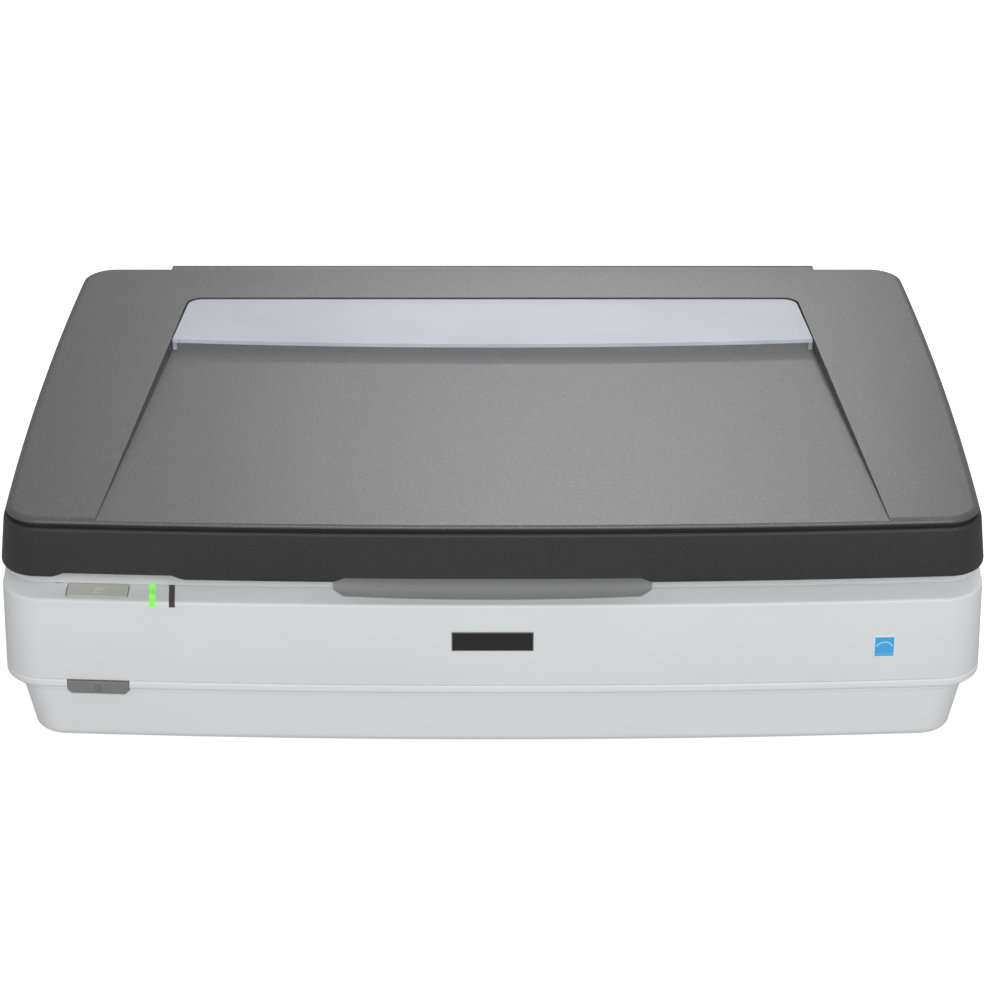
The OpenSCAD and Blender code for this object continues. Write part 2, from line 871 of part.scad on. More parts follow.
// The flat cable from the main board, doubled back under the carriage's resting place
module flat_cable() {
    y = [-40, -10];
    left = idler_x + 24;
    rise_x = slit_x + 20;
    color(white)
    union() {
        block([left, 60], y, [plate_top + 0.3, plate_top + 0.8]);
        difference() {
            rod_y(left, y, plate_top + 8.3, 8);
            rod_y(left, [y[0] - 1, y[1] + 1], plate_top + 8.3, 7.5);
            block([left, left + 10], [y[0] - 1, y[1] + 1], [plate_top, plate_top + 20]);
        }
        block([left, rise_x], y, [plate_top + 15.8, plate_top + 16.3]);
        block([rise_x - 0.5, rise_x], y, [plate_top + 15.8, carriage_low - 1]);
    }
}

// ---------- carriage ----------

carriage_x = [slit_x - carriage_w / 2, slit_x + carriage_w / 2];

module carriage_housing() {
    color(black)
    difference() {
        block(carriage_x, [carriage_front, carriage_rear], [carriage_low, carriage_top]);
        block([carriage_x[0] + 2.5, carriage_x[1] - 2.5], [carriage_front + 2.5, carriage_rear - 2.5],
              [carriage_low + 2.5, carriage_top - 2.5]);
        block([slit_x - 7, slit_x + 7], [carriage_front + 6, carriage_rear - 6],
              [carriage_top - 5, carriage_top + 1]);
    }
}

module lamp_tubes() {
    color(white)
    for (s = [-1, 1])
        rod_y(slit_x + s * 13, [carriage_front + 4, carriage_rear - 4], carriage_top - 8, 1.6);
}

module lamp_reflector() {
    color(steel)
    difference() {
        block([slit_x - 18, slit_x + 18], [carriage_front + 5, carriage_rear - 5],
              [carriage_top - 13, carriage_top - 3]);
        block([slit_x - 16.5, slit_x + 16.5], [carriage_front, carriage_rear],
              [carriage_top - 11.5, carriage_top]);
        block([slit_x - 4, slit_x + 4], [carriage_front + 8, carriage_rear - 8],
              [carriage_top - 14, carriage_top]);
    }
}

module scan_mirrors() {
    color(steel)
    for (m = [[-1, 72, 45], [-30, 76, -28], [28, 82, 30]])
        translate([slit_x + m[0], 0, m[1]])
            rotate([0, m[2], 0])
                block([-6, 6], [carriage_front + 12, carriage_rear - 12], [-1, 1]);
}

module lens_barrel() {
    color(black)
    union() {
        rod_x([slit_x + 4, slit_x + 22], glass_y, lens_z, 9);
        block([slit_x + 8, slit_x + 18], [glass_y - 6, glass_y + 6], [carriage_low + 2.5, lens_z]);
    }
}

module sensor_board() {
    color(board_green)
    union() {
        block([carriage_x[1] - 6, carriage_x[1] - 4.4], [glass_y - 45, glass_y + 45],
              [carriage_low + 2.5, lens_z + 8]);
        block([carriage_x[1] - 8, carriage_x[1] - 6], [glass_y - 30, glass_y + 30],
              [lens_z - 3, lens_z + 3]);
    }
}

module guide_bushes() {
    color(brass)
    for (s = [-1, 1])
        difference() {
            union() {
                rod_x([slit_x + s * 27 - 7, slit_x + s * 27 + 7], shaft_y, shaft_z, 7);
                block([slit_x + s * 27 - 7, slit_x + s * 27 + 7], [shaft_y - 6, shaft_y + 6],
                      [shaft_z, carriage_low]);
            }
            rod_x([slit_x + s * 27 - 8, slit_x + s * 27 + 8], shaft_y, shaft_z, shaft_r + 0.06);
        }
}

module belt_clamp() {
    run_y = belt_y - pulley_r - GAP - belt_t;
    color(black)
    difference() {
        block([slit_x - 8, slit_x + 8], [run_y - 3.5, run_y + 4.7], [belt_z - 1, carriage_low]);
        block([slit_x - 9, slit_x + 9], [run_y - GAP, run_y + belt_t + GAP],
              [belt_z - 2, belt_z + belt_h + GAP]);
    }
}

module slide_shoe() {
    color(white)
    block([slit_x - 10, slit_x + 10], [rail_y - 6, rail_y + 6], [shaft_z + 2.5 + GAP, carriage_low]);
}

// ---------- hinge posts ----------

module hinge_post() {
    color(charcoal)
    difference() {
        union() {
            block([-post_half, post_half], [hinge_y - post_t / 2, hinge_y + post_t / 2],
                  [seam_z + 8.6, hinge_z - 10]);
            block([-knuckle_half, knuckle_half], [hinge_y - post_t / 2, hinge_y + post_t / 2],
                  [hinge_z - 12, hinge_z]);
            rod_x([-knuckle_half, knuckle_half], hinge_y, hinge_z, knuckle_r);
        }
        rod_x([-post_half, post_half], hinge_y, hinge_z, pin_r + 0.08);
    }
}

module hinge_post_left() {
    translate([-hinge_spread / 2, 0, 0])
        hinge_post();
}

module hinge_post_right() {
    translate([hinge_spread / 2, 0, 0])
        hinge_post();
}

module hinge_brackets() {
    ear_t = 2.5;
    color(steel)
    at_hinges()
        difference() {
            union() {
                for (s = [-1, 1])
                    block([s * (ear_inner + ear_t / 2) - ear_t / 2, s * (ear_inner + ear_t / 2) + ear_t / 2],
                          [hinge_y - 10.4, hinge_y + 5.5], [hinge_z - 6, hinge_z + 8.4]);
                block([-ear_inner - ear_t, ear_inner + ear_t], [hinge_y - 10.4, hinge_y + 4],
                      [hinge_z + 6.6, hinge_z + 8.4]);
                block([-ear_inner - ear_t, ear_inner + ear_t], [hinge_y - 10.4, hinge_y - 8.6],
                      [hinge_z - 16, hinge_z + 8.4]);
            }
            rod_x([-ear_inner - ear_t - 1, ear_inner + ear_t + 1], hinge_y, hinge_z, pin_r);
        }
}

module hinge_pins() {
    color(steel)
    at_hinges()
        rod_x([-ear_inner - 3, ear_inner + 3], hinge_y, hinge_z, pin_r);
}

module torsion_springs() {
    color(steel)
    at_hinges()
        for (x = [-ear_inner + 0.2, knuckle_half + 0.6])
            coil_x([x, x + 7.9], hinge_y, hinge_z, 4.1, 0.8);
}

// ---------- lid ----------

bump_section = [
    [main_rear - 3, lid_z], [rear_y - 1, lid_z], [rear_y, lid_z + 1.5], [rear_y - 0.8, lid_z + 29.5],
    [rear_y - 3.4, lid_z + 31.2], [rear_y - 14.5, panel_z], [main_rear - 3, panel_z]
];
bump_hollow = [
    [main_rear + 3, lid_z - 1], [rear_y - 3.2, lid_z - 1], [rear_y - 3.6, lid_z + 28.5],
    [rear_y - 15.5, panel_z - 3], [main_rear + 3, panel_z - 3]
];
bump_cap = [
    [main_rear - 6, panel_z], [rear_y - 14.5, panel_z], [rear_y - 3, lid_z + 31.1],
    [rear_y - 2, lid_z + 31.6], [rear_y - 14, panel_z + 1.7], [main_rear + 1.4, panel_z + 2.6],
    [main_rear - 6, panel_z + 3]
];

// A piece of the bump over the hinges: the section along X, with rounded ends
module bump(section, half) {
    intersection() {
        along_x([-half, half], section);
        slab([-half, half], [0, rear_y + 1], [0, case_h + 1], 18);
    }
}

// What the lid's lower edge is cut back by, over the finger recess and over the controls
module edge_notches() {
    slope = 8.5;
    top = lid_z + notch_rise;
    for (n = notches)
        translate([0, front_y + notch_d, 0])
            rotate([90, 0, 0])
                linear_extrude(notch_d + 8)
                    polygon([[n[0] - 2, lid_z - 1], [n[1] + 2, lid_z - 1], [n[1], lid_z],
                             [n[1] - slope, top], [n[0] + slope, top], [n[0], lid_z]]);
}

// Ribs that close the lid's inside above the notches, and come down behind them to the inner panel
module notch_roofs() {
    t = 1.5;
    low = lid_z + notch_rise;
    for (n = notches) {
        intersection() {
            loft([[low, lid_in + 1, 1, 1, lid_r - 1], [low + t, lid_in + 1, 1, 1, lid_r - 1]]);
            block([n[0] - 1, n[1] + 1], [front_y - 1, front_y + notch_d + 3], [low - 1, low + t + 1]);
        }
        block([n[0] - 1, n[1] + 1], [front_y + notch_d + GAP, front_y + notch_d + 3], [lid_z + 2.9, low + t]);
    }
}

module lid_skirt() {
    color(charcoal)
    difference() {
        union() {
            difference() {
                loft([
                    [lid_z, lid_in + 0.6, 0.6, 0.6, lid_r - 0.6],
                    [lid_z + 1.2, lid_in + 0.1, 0.1, 0.1, lid_r - 0.1],
                    [lid_z + 4, lid_in, 0, 0, lid_r],
                    [lid_z + 31.5, lid_in + 3, 3.2, -1, lid_r - 1],
                    [lid_z + 34.4, lid_in + 3.8, 4.2, -1, lid_r - 1.5],
                    [panel_z, lid_in + 5, 5.8, -0.6, lid_r - 2]
                ]);
                loft([
                    [lid_z - EDGE_SPREAD, lid_in + 3.6, 3.6, 3.6, lid_r - 4],
                    [lid_z + 31.5, lid_in + 6.2, 6.6, 3.6, lid_r - 4],
                    [panel_z + EDGE_SPREAD, lid_in + 8.4, 9, 5.4, lid_r - 5]
                ]);
            }
            bump(bump_section, housing_half);
            notch_roofs();
        }
        bump(bump_hollow, housing_half - 4);
        at_hinges()
            block([-ear_inner - 3.5, ear_inner + 3.5], [hinge_y - 10.4, rear_y + 2],
                  [lid_z - 1, hinge_z + 9]);
        edge_notches();
    }
}

// Half the width of the document pocket at y
function pocket_half(y) = half_w - 87.3 - pocket_taper * y;

// The pocket's outline, drawn in by inset, back to the line rear
function pocket_outline(inset, front, rear) = concat(
    [[-pocket_half(front) + inset, front], [pocket_half(front) - inset, front]],
    [for (i = [0 : CORNER_STEPS])
        let (a = 90 * i / CORNER_STEPS, r = 12 - inset)
        [pocket_half(rear - 12) - 12 + r * cos(a), rear - 12 + r * sin(a)]],
    [for (i = [0 : CORNER_STEPS])
        let (a = 90 + 90 * i / CORNER_STEPS, r = 12 - inset)
        [12 - pocket_half(rear - 12) + r * cos(a), rear - 12 + r * sin(a)]]
);

// Everything above the ramp's sloping floor, dropped by depth
module above_ramp(depth) {
    floor_at_front = case_h - 0.5 - depth;
    along_x([-half_w, half_w], [
        [pocket_front - 5, floor_at_front + 5 * ramp_fall],
        [main_rear, floor_at_front - ramp_fall * (main_rear - pocket_front)],
        [main_rear, case_h + 5], [pocket_front - 5, case_h + 5]
    ]);
}

module lid_top_panel() {
    color(lid_grey)
    difference() {
        union() {
            difference() {
                loft([
                    [panel_z, lid_in + 5.8, 6.6, -0.2, lid_r - 2.6],
                    [panel_z + 1.5, lid_in + 5, 5.8, -1, lid_r - 2],
                    [panel_z + 3.4, lid_in + 6.6, 7.4, 0.6, lid_r - 3],
                    [case_h, lid_in + 10, 10.8, 4, lid_r - 6]
                ]);
                loft([
                    [panel_z - EDGE_SPREAD, lid_in + 9, 10, 3.4, lid_r - 6],
                    [panel_z + 1.6, lid_in + 9.6, 10.6, 4, lid_r - 6]
                ]);
            }
            bump(bump_cap, housing_half - 3);
            pocket_tray();
        }
        intersection() {
            linear_extrude(case_h + 2)
                polygon(pocket_outline(0, pocket_front, pocket_rear));
            above_ramp(0);
        }
    }
}

// The tray that carries the ramp, hanging under the panel
module pocket_tray() {
    difference() {
        intersection() {
            linear_extrude(case_h - 1)
                polygon(pocket_outline(-2.6, front_y + 30, pocket_rear + 2.6));
            above_ramp(2.6);
        }
        block([-half_w, half_w], [pocket_rear + 30, rear_y], [0, case_h]);
    }
}

// The clear plate over the back of the pocket, with its feet
module pocket_plate() {
    margin = 1.6;
    side = pocket_half(plate_front) - 4;
    plate_bow_r = (pow(side, 2) + 81) / 18;     // bows 9 mm forward across the plate
    color(smoke)
    union() {
        difference() {
            translate([0, 0, plate_z])
                linear_extrude(plate_t)
                    polygon(pocket_outline(margin, plate_front, pocket_rear - margin));
            difference() {
                block([-half_w, half_w], [plate_front - 1, plate_front + 9], [plate_z - 1, case_h + 1]);
                translate([0, plate_front + plate_bow_r, plate_z - 2])
                    cylinder(r = plate_bow_r, h = 8, $fn = 360);
            }
        }
        for (s = [-1, 1]) {
            plate_foot(s * (side - 4), plate_front + 14);
            plate_foot(s * side * 0.5, pocket_rear - 8);
        }
    }
}

module plate_foot(x, y) {
    floor_z = case_h - 0.5 - ramp_fall * (y - pocket_front);
    block([x - 4, x + 4], [y - 2, y + 2], [floor_z + 0.1, plate_z + 0.5]);
}

module lid_inner_panel() {
    color(light_grey)
    difference() {
        union() {
            loft([
                [lid_z + 0.3, lid_in + 4.2, 4.2, 4.2, lid_r - 5],
                [lid_z + 2.8, lid_in + 4.4, 4.4, 4.4, lid_r - 5]
            ]);
            for (x = [-200, 0, 200], y = [-150, 165])
                translate([x, y, lid_z + 2])
                    cylinder(r = 4, h = lid_h - 20);
        }
        edge_notches();
    }
}

module document_mat() {
    color(white)
    slab([-glass_l / 2 + 2, glass_l / 2 - 2], [glass_y - glass_w / 2 + 2, glass_y + glass_w / 2 - 2],
         [deck_z + 0.4, lid_z + 0.3], 4);
}

module lid_bumpers() {
    color(black)
    for (sx = [-1, 1], y = [front_y + 50, main_rear - 32])
        translate([sx * (half_w - 36), y, deck_z + 0.2])
            cylinder(r = 5, h = lid_z + 0.3 - deck_z - 0.2);
}

module lid_screws() {
    color(steel)
    for (sx = [-1, 1], y = [front_y + 60, 0, main_rear - 20])
        translate([sx * (half_w - 60), y, lid_z - 0.5])
            cylinder(r = 3.4, h = 0.8);
}

// ---------- the assembly ----------

lower_case();
upper_case();
platen_frame();
platen_glass();
white_reference_strip();
grip_insert();
status_light();
error_light();
name_plate();
front_label();
rubber_feet();
case_screws();
chassis_plate();
guide_shaft();
shaft_clamps();
guide_rail();
drive_motor();
pulley_axles();
idler_bracket();
tension_spring();
drive_belt();
main_board();
main_board_chips();
power_supply();
ac_inlet();
ac_inlet_pins();
usb_port();
accessory_port();
rear_connector_plate();
hinge_sockets();
flat_cable();
carriage_housing();
lamp_tubes();
lamp_reflector();
scan_mirrors();
lens_barrel();
sensor_board();
guide_bushes();
belt_clamp();
slide_shoe();
hinge_post_left();
hinge_post_right();
lid_skirt();
lid_top_panel();
pocket_plate();
lid_inner_panel();
document_mat();
lid_bumpers();
lid_screws();
hinge_brackets();
hinge_pins();
torsion_springs();
start_button();
power_button();
transport_lock();
motor_pinion();
reduction_gear();
idler_pulley();
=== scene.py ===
import json
import math

import bmesh
import bpy
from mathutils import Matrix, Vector


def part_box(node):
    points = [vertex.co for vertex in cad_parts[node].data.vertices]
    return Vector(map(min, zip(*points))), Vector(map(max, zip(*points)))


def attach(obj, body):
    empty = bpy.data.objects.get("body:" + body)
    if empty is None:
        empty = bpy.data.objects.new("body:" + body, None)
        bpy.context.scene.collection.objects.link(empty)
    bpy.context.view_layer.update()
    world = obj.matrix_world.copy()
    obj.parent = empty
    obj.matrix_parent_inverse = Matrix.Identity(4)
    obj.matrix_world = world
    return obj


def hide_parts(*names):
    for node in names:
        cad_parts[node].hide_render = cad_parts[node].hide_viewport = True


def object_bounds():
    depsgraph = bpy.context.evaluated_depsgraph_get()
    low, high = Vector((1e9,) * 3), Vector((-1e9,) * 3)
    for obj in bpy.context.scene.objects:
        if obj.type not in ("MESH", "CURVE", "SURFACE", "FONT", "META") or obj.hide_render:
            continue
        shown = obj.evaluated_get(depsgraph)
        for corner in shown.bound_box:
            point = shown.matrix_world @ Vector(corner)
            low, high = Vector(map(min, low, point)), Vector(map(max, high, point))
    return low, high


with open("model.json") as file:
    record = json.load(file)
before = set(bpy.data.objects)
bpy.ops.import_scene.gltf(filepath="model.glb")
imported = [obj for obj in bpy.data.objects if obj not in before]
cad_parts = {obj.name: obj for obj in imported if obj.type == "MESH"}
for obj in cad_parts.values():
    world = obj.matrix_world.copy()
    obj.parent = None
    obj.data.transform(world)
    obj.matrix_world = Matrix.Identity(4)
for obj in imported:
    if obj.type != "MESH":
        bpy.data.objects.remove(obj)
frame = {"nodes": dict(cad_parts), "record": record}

CAD_LOW, CAD_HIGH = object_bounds()
MM = 0.001

# ---------- sizes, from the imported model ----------

HALF_W = (CAD_HIGH.x - CAD_LOW.x) / 2
FRONT = CAD_LOW.y
REAR = CAD_HIGH.y
TOP = CAD_HIGH.z
MAIN_REAR = REAR - 22 * MM                  # back of the case beside the hinge housing
WIDEST_Y = FRONT + 147 * MM
CORNER_R = 27 * MM
BOW_REACH = HALF_W - 38 * MM
FRONT_BOW = 8.5 * MM
SIDE_BOW = 6.4 * MM
SIDE_BOW_REACH = 240 * MM
FOOT_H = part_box("rubber_feet")[1].z
SEAM_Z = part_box("lower_case")[1].z          # between the two cases
DECK_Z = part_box("platen_frame")[1].z
FRAME_Z = DECK_Z - 13 * MM                  # between the upper case and the platen frame
SHELF_Z = FRAME_Z - 3.6 * MM                # front edge of the control shelf
LID_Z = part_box("lid_skirt")[0].z
PANEL_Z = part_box("lid_skirt")[1].z          # between the lid's skirt and its top panel
HINGE_Y = REAR - 10 * MM
HINGE_X = (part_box("hinge_post_right")[0].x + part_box("hinge_post_right")[1].x) / 2
HOUSING_HALF = HINGE_X + 60 * MM            # half the width of the hinge housing and of the bump over it
LID_IN = 3                                  # millimetres that the lid's sides stand in from the case's
LID_R = -3                                  # and its corner radius against the case's

SHELF_FRONT = FRONT + 8.5 * MM
SHELF_REAR = FRONT + 22.8 * MM
SHELF_SLOPE = math.atan((FRAME_Z - SHELF_Z) / (SHELF_REAR - SHELF_FRONT))
WALL_LOW_Y = FRONT + 3.7 * MM               # front wall at the case seam
WALL_HIGH_Y = FRONT + 6.5 * MM              # front wall just under the shelf
GRIP_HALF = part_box("grip_insert")[1].x
GRIP_FRONT = FRONT + 12.5 * MM
CONTROLS = (-HALF_W + 39.9 * MM, -HALF_W + 127.7 * MM)
PAD_D = 8 * MM
START_X = -HALF_W + 67.3 * MM
POWER_X = -HALF_W + 66 * MM
STATUS_X = -HALF_W + 104.5 * MM
ERROR_X = -HALF_W + 117.5 * MM
LABEL_X = HALF_W - 69.2 * MM
NAME_PLATE_Z = SEAM_Z + 32.8 * MM
LABEL_Z = SEAM_Z + 25.4 * MM
START_HALF = 20.2 * MM
START_FRONT = 1.9 * MM                      # up the shelf from its front edge
START_D = 12.8 * MM
START_R = 2.3 * MM
START_GAP = 0.6 * MM                        # round the start button
POWER_HALF = 20.5 * MM
POWER_RISE = 4.5 * MM                       # half the power button's height
POWER_FACE_Y = FRONT + 2.3 * MM
WINDOW_HALF = 1.95 * MM
WINDOW_TURN = math.radians(4)
GAP = 0.3 * MM
NOTCHES = ((-GRIP_HALF, GRIP_HALF), CONTROLS)    # where the lid's front edge is cut back
NOTCH_RISE = 3.7 * MM
NOTCH_D = 22 * MM
HOUSING_WALL = 3 * MM
MOUTH_HALF = 23.5 * MM                      # half the length of the mouth over a hinge socket
MOUTH_D = 6.5 * MM                          # and half its depth
HINGE_GAP_HALF = 27 * MM                    # half the width of the lid's cut-out round a hinge

POCKET_REAR = MAIN_REAR - 57 * MM
POCKET_FRONT = FRONT - 1 * MM
POCKET_TAPER = 0.0782
RAMP_FALL = 0.0316
RAMP_STEP = 0.5 * MM                        # drop of the ramp at its front edge
PLATE_FRONT = POCKET_REAR - 86 * MM
PLATE_Z = TOP - 3 * MM
PLATE_T = 2.8 * MM
POCKET_R = 12 * MM                          # rear corners of the pocket
TRAY_WALL = 2.6 * MM                        # of the pocket's walls and ramp
REAR_WALL_Y = MAIN_REAR - 2 * MM

CORNER_STEPS = 14
SMALL_CORNER_STEPS = 8
FRONT_STEPS = 40
SIDE_STEPS = 20
EDGE_SEGMENTS = 2
SHARP_ANGLE = math.radians(32)              # edges sharper than this are rounded, the rest shaded smooth
MERGE = 0.01 * MM                           # points closer than this are welded after a cut

FLOOR_GLOW = 0.55
SURROUNDINGS_GLOW = 0.45


# ---------- outlines ----------

def bow_at(x):
    """How far the front edge has drawn back at x."""
    return FRONT_BOW * (x / BOW_REACH) ** 2


def bow_angle(x):
    return math.atan(2 * FRONT_BOW * x / BOW_REACH ** 2)


def bowed(x, y):
    """Bends a point of a straight-sided outline to the case's bowed one."""
    draw_in = SIDE_BOW / HALF_W * ((y - WIDEST_Y) / SIDE_BOW_REACH) ** 2
    return x * (1 - draw_in), y + bow_at(x) * (MAIN_REAR - y) / (MAIN_REAR - FRONT)


def arc(x, y, r, start, steps=CORNER_STEPS):
    """A quarter circle, in points, anticlockwise from the angle start."""
    turns = [math.radians(start + 90 * i / steps) for i in range(steps + 1)]
    return [(x + r * math.cos(a), y + r * math.sin(a)) for a in turns]


def outline(side, front, rear, r):
    """The case's outline, drawn in from its widest by side, front and rear."""
    w, f, b = HALF_W - side, FRONT + front, MAIN_REAR - rear
    along_front = [(-w + r + 2 * (w - r) * i / FRONT_STEPS, f) for i in range(1, FRONT_STEPS)]
    up_side = [f + r + (b - f - 2 * r) * i / SIDE_STEPS for i in range(1, SIDE_STEPS)]
    points = along_front + arc(w - r, f + r, r, -90)
    points += [(w, y) for y in up_side] + arc(w - r, b - r, r, 0)
    points += arc(r - w, b - r, r, 90) + [(-w, y) for y in reversed(up_side)]
    points += arc(r - w, f + r, r, 180)
    return [bowed(x, y) for x, y in points]


def eased(low, high, steps=6, outward=False):
    """Levels between two, rounded like a quarter ellipse: upright at low, or at high when outward."""
    made = []
    for i in range(1, steps):
        a = math.pi / 2 * i / steps
        rise, lean = (1 - math.cos(a), math.sin(a)) if outward else (math.sin(a), 1 - math.cos(a))
        made.append([p + (q - p) * (rise if k == 0 else lean) for k, (p, q) in enumerate(zip(low, high))])
    return made


# ---------- meshes ----------

def new_object(name, mesh):
    thing = bpy.data.objects.new(name, mesh)
    bpy.context.scene.collection.objects.link(thing)
    return thing


def face_outwards(mesh):
    """Turns every face outwards, which a boolean needs of its tool."""
    bm = bmesh.new()
    bm.from_mesh(mesh)
    bmesh.ops.recalc_face_normals(bm, faces=bm.faces)
    bm.to_mesh(mesh)
    bm.free()


def from_rings(name, rings):
    """A closed solid skinned over rings of points that correspond."""
    n = len(rings[0])
    verts = [p for ring in rings for p in ring]
    faces = [tuple(reversed(range(n))), tuple(range((len(rings) - 1) * n, len(rings) * n))]
    for k in range(len(rings) - 1):
        for i in range(n):
            j = (i + 1) % n
            faces.append((k * n + i, k * n + j, (k + 1) * n + j, (k + 1) * n + i))
    mesh = bpy.data.meshes.new(name)
    mesh.from_pydata([tuple(v) for v in verts], [], faces)
    face_outwards(mesh)
    return new_object(name, mesh)


def loft(name, levels):
    """A solid over case outlines.

    A level is its height in metres, then, in millimetres, how far its outline is drawn in at the side,
    the front and the rear, and its corner radius less the case's.
    """
    rings = []
    for z, side, front, rear, r in levels:
        ring = outline(side * MM, front * MM, rear * MM, CORNER_R + r * MM)
        rings.append([(x, y, z) for x, y in ring])
    return from_rings(name, rings)


def prism(name, points, low, high):
    """An outline in X and Y drawn up from low to high."""
    return from_rings(name, [[(x, y, low) for x, y in points], [(x, y, high) for x, y in points]])


def along_x(name, section, low, high):
    """A section in Y and Z drawn along X."""
    return from_rings(name, [[(low, y, z) for y, z in section], [(high, y, z) for y, z in section]])


def box(name, x, y, z):
    points = [(x[0], y[0]), (x[1], y[0]), (x[1], y[1]), (x[0], y[1])]
    return prism(name, points, z[0], z[1])


def rounded_rectangle(x, y, r, steps):
    """A rectangle with rounded corners, in points, anticlockwise from its front right corner."""
    points = arc(x[1] - r, y[0] + r, r, -90, steps) + arc(x[1] - r, y[1] - r, r, 0, steps)
    return points + arc(x[0] + r, y[1] - r, r, 90, steps) + arc(x[0] + r, y[0] + r, r, 180, steps)


def rounded_box(name, x, y, z, r):
    """A box with rounded upright edges."""
    return prism(name, rounded_rectangle(x, y, r, SMALL_CORNER_STEPS), z[0], z[1])


def apply_all(thing):
    """Applies thing's modifiers to its mesh."""
    depsgraph = bpy.context.evaluated_depsgraph_get()
    mesh = bpy.data.meshes.new_from_object(thing.evaluated_get(depsgraph))
    thing.modifiers.clear()
    old = thing.data
    thing.data = mesh
    bpy.data.meshes.remove(old)


def combine(thing, tool, operation):
    """Cuts, joins or crops thing with tool, which is used up."""
    step = thing.modifiers.new("combine", "BOOLEAN")
    step.operation = operation
    step.object = tool
    step.solver = "EXACT"
    apply_all(thing)
    bpy.data.objects.remove(tool)


def cut(thing, tool):
    combine(thing, tool, "DIFFERENCE")


def join(thing, tool):
    combine(thing, tool, "UNION")


def crop(thing, tool):
    combine(thing, tool, "INTERSECT")


def tidy(thing):
    """Welds what a cut leaves behind."""
    bm = bmesh.new()
    bm.from_mesh(thing.data)
    bmesh.ops.remove_doubles(bm, verts=bm.verts, dist=MERGE)
    bmesh.ops.dissolve_degenerate(bm, edges=bm.edges, dist=MERGE)
    bmesh.ops.recalc_face_normals(bm, faces=bm.faces)
    bm.to_mesh(thing.data)
    bm.free()


def soften(thing, width):
    """Small rounded edges where faces meet sharply, and smooth shading elsewhere."""
    bevel = thing.modifiers.new("edge", "BEVEL")
    bevel.width = width
    bevel.segments = EDGE_SEGMENTS
    bevel.limit_method = "ANGLE"
    bevel.angle_limit = SHARP_ANGLE
    bevel.harden_normals = True
    thing.data.shade_smooth()
    thing.data.set_sharp_from_angle(angle=SHARP_ANGLE)


def finish_piece(thing, material, body, nodes, width=0.35 * MM):
    """Gives a built piece its edges, material and body, in place of CAD nodes."""
    tidy(thing)
    thing.data.materials.clear()
    thing.data.materials.append(material)
    for face in thing.data.polygons:
        face.material_index = 0
    if width:
        soften(thing, width)
    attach(thing, body)
    if nodes:
        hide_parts(*nodes)
    return thing


# ---------- placing on the front ----------

def on_shelf(thing, x):
    """Moves a piece made at the origin onto the control shelf: Y runs up the shelf, Z out of it."""
    place(thing, (x, SHELF_FRONT + bow_at(x), SHELF_Z), SHELF_SLOPE, bow_angle(x))
    return thing


def on_front(thing, x, z):
    """Moves a piece made at the origin onto the front wall: Z runs up the wall, -Y out of it."""
    rise = SHELF_Z - 2 * MM - SEAM_Z
    lean = math.atan((WALL_HIGH_Y - WALL_LOW_Y) / rise)
    y = WALL_LOW_Y + (z - SEAM_Z) * math.tan(lean) + bow_at(x)
    place(thing, (x, y, z), -lean, bow_angle(x))
    return thing


def place(thing, spot, tilt, turn):
    """Tilts about X, turns about Z, then moves a mesh to spot."""
    thing.rotation_euler = (tilt, 0, turn)
    thing.location = spot
    bpy.context.view_layer.update()
    thing.data.transform(thing.matrix_world)
    thing.rotation_euler = (0, 0, 0)
    thing.location = (0, 0, 0)
    bpy.context.view_layer.update()


# ---------- materials ----------

def grey(level):
    """A neutral linear colour from a display level, 0 to 255."""
    return tone(level, level, level)


def tone(r, g, b):
    """A linear colour from display levels, 0 to 255."""
    return tuple((c / 255) ** 2.2 for c in (r, g, b)) + (1.0,)


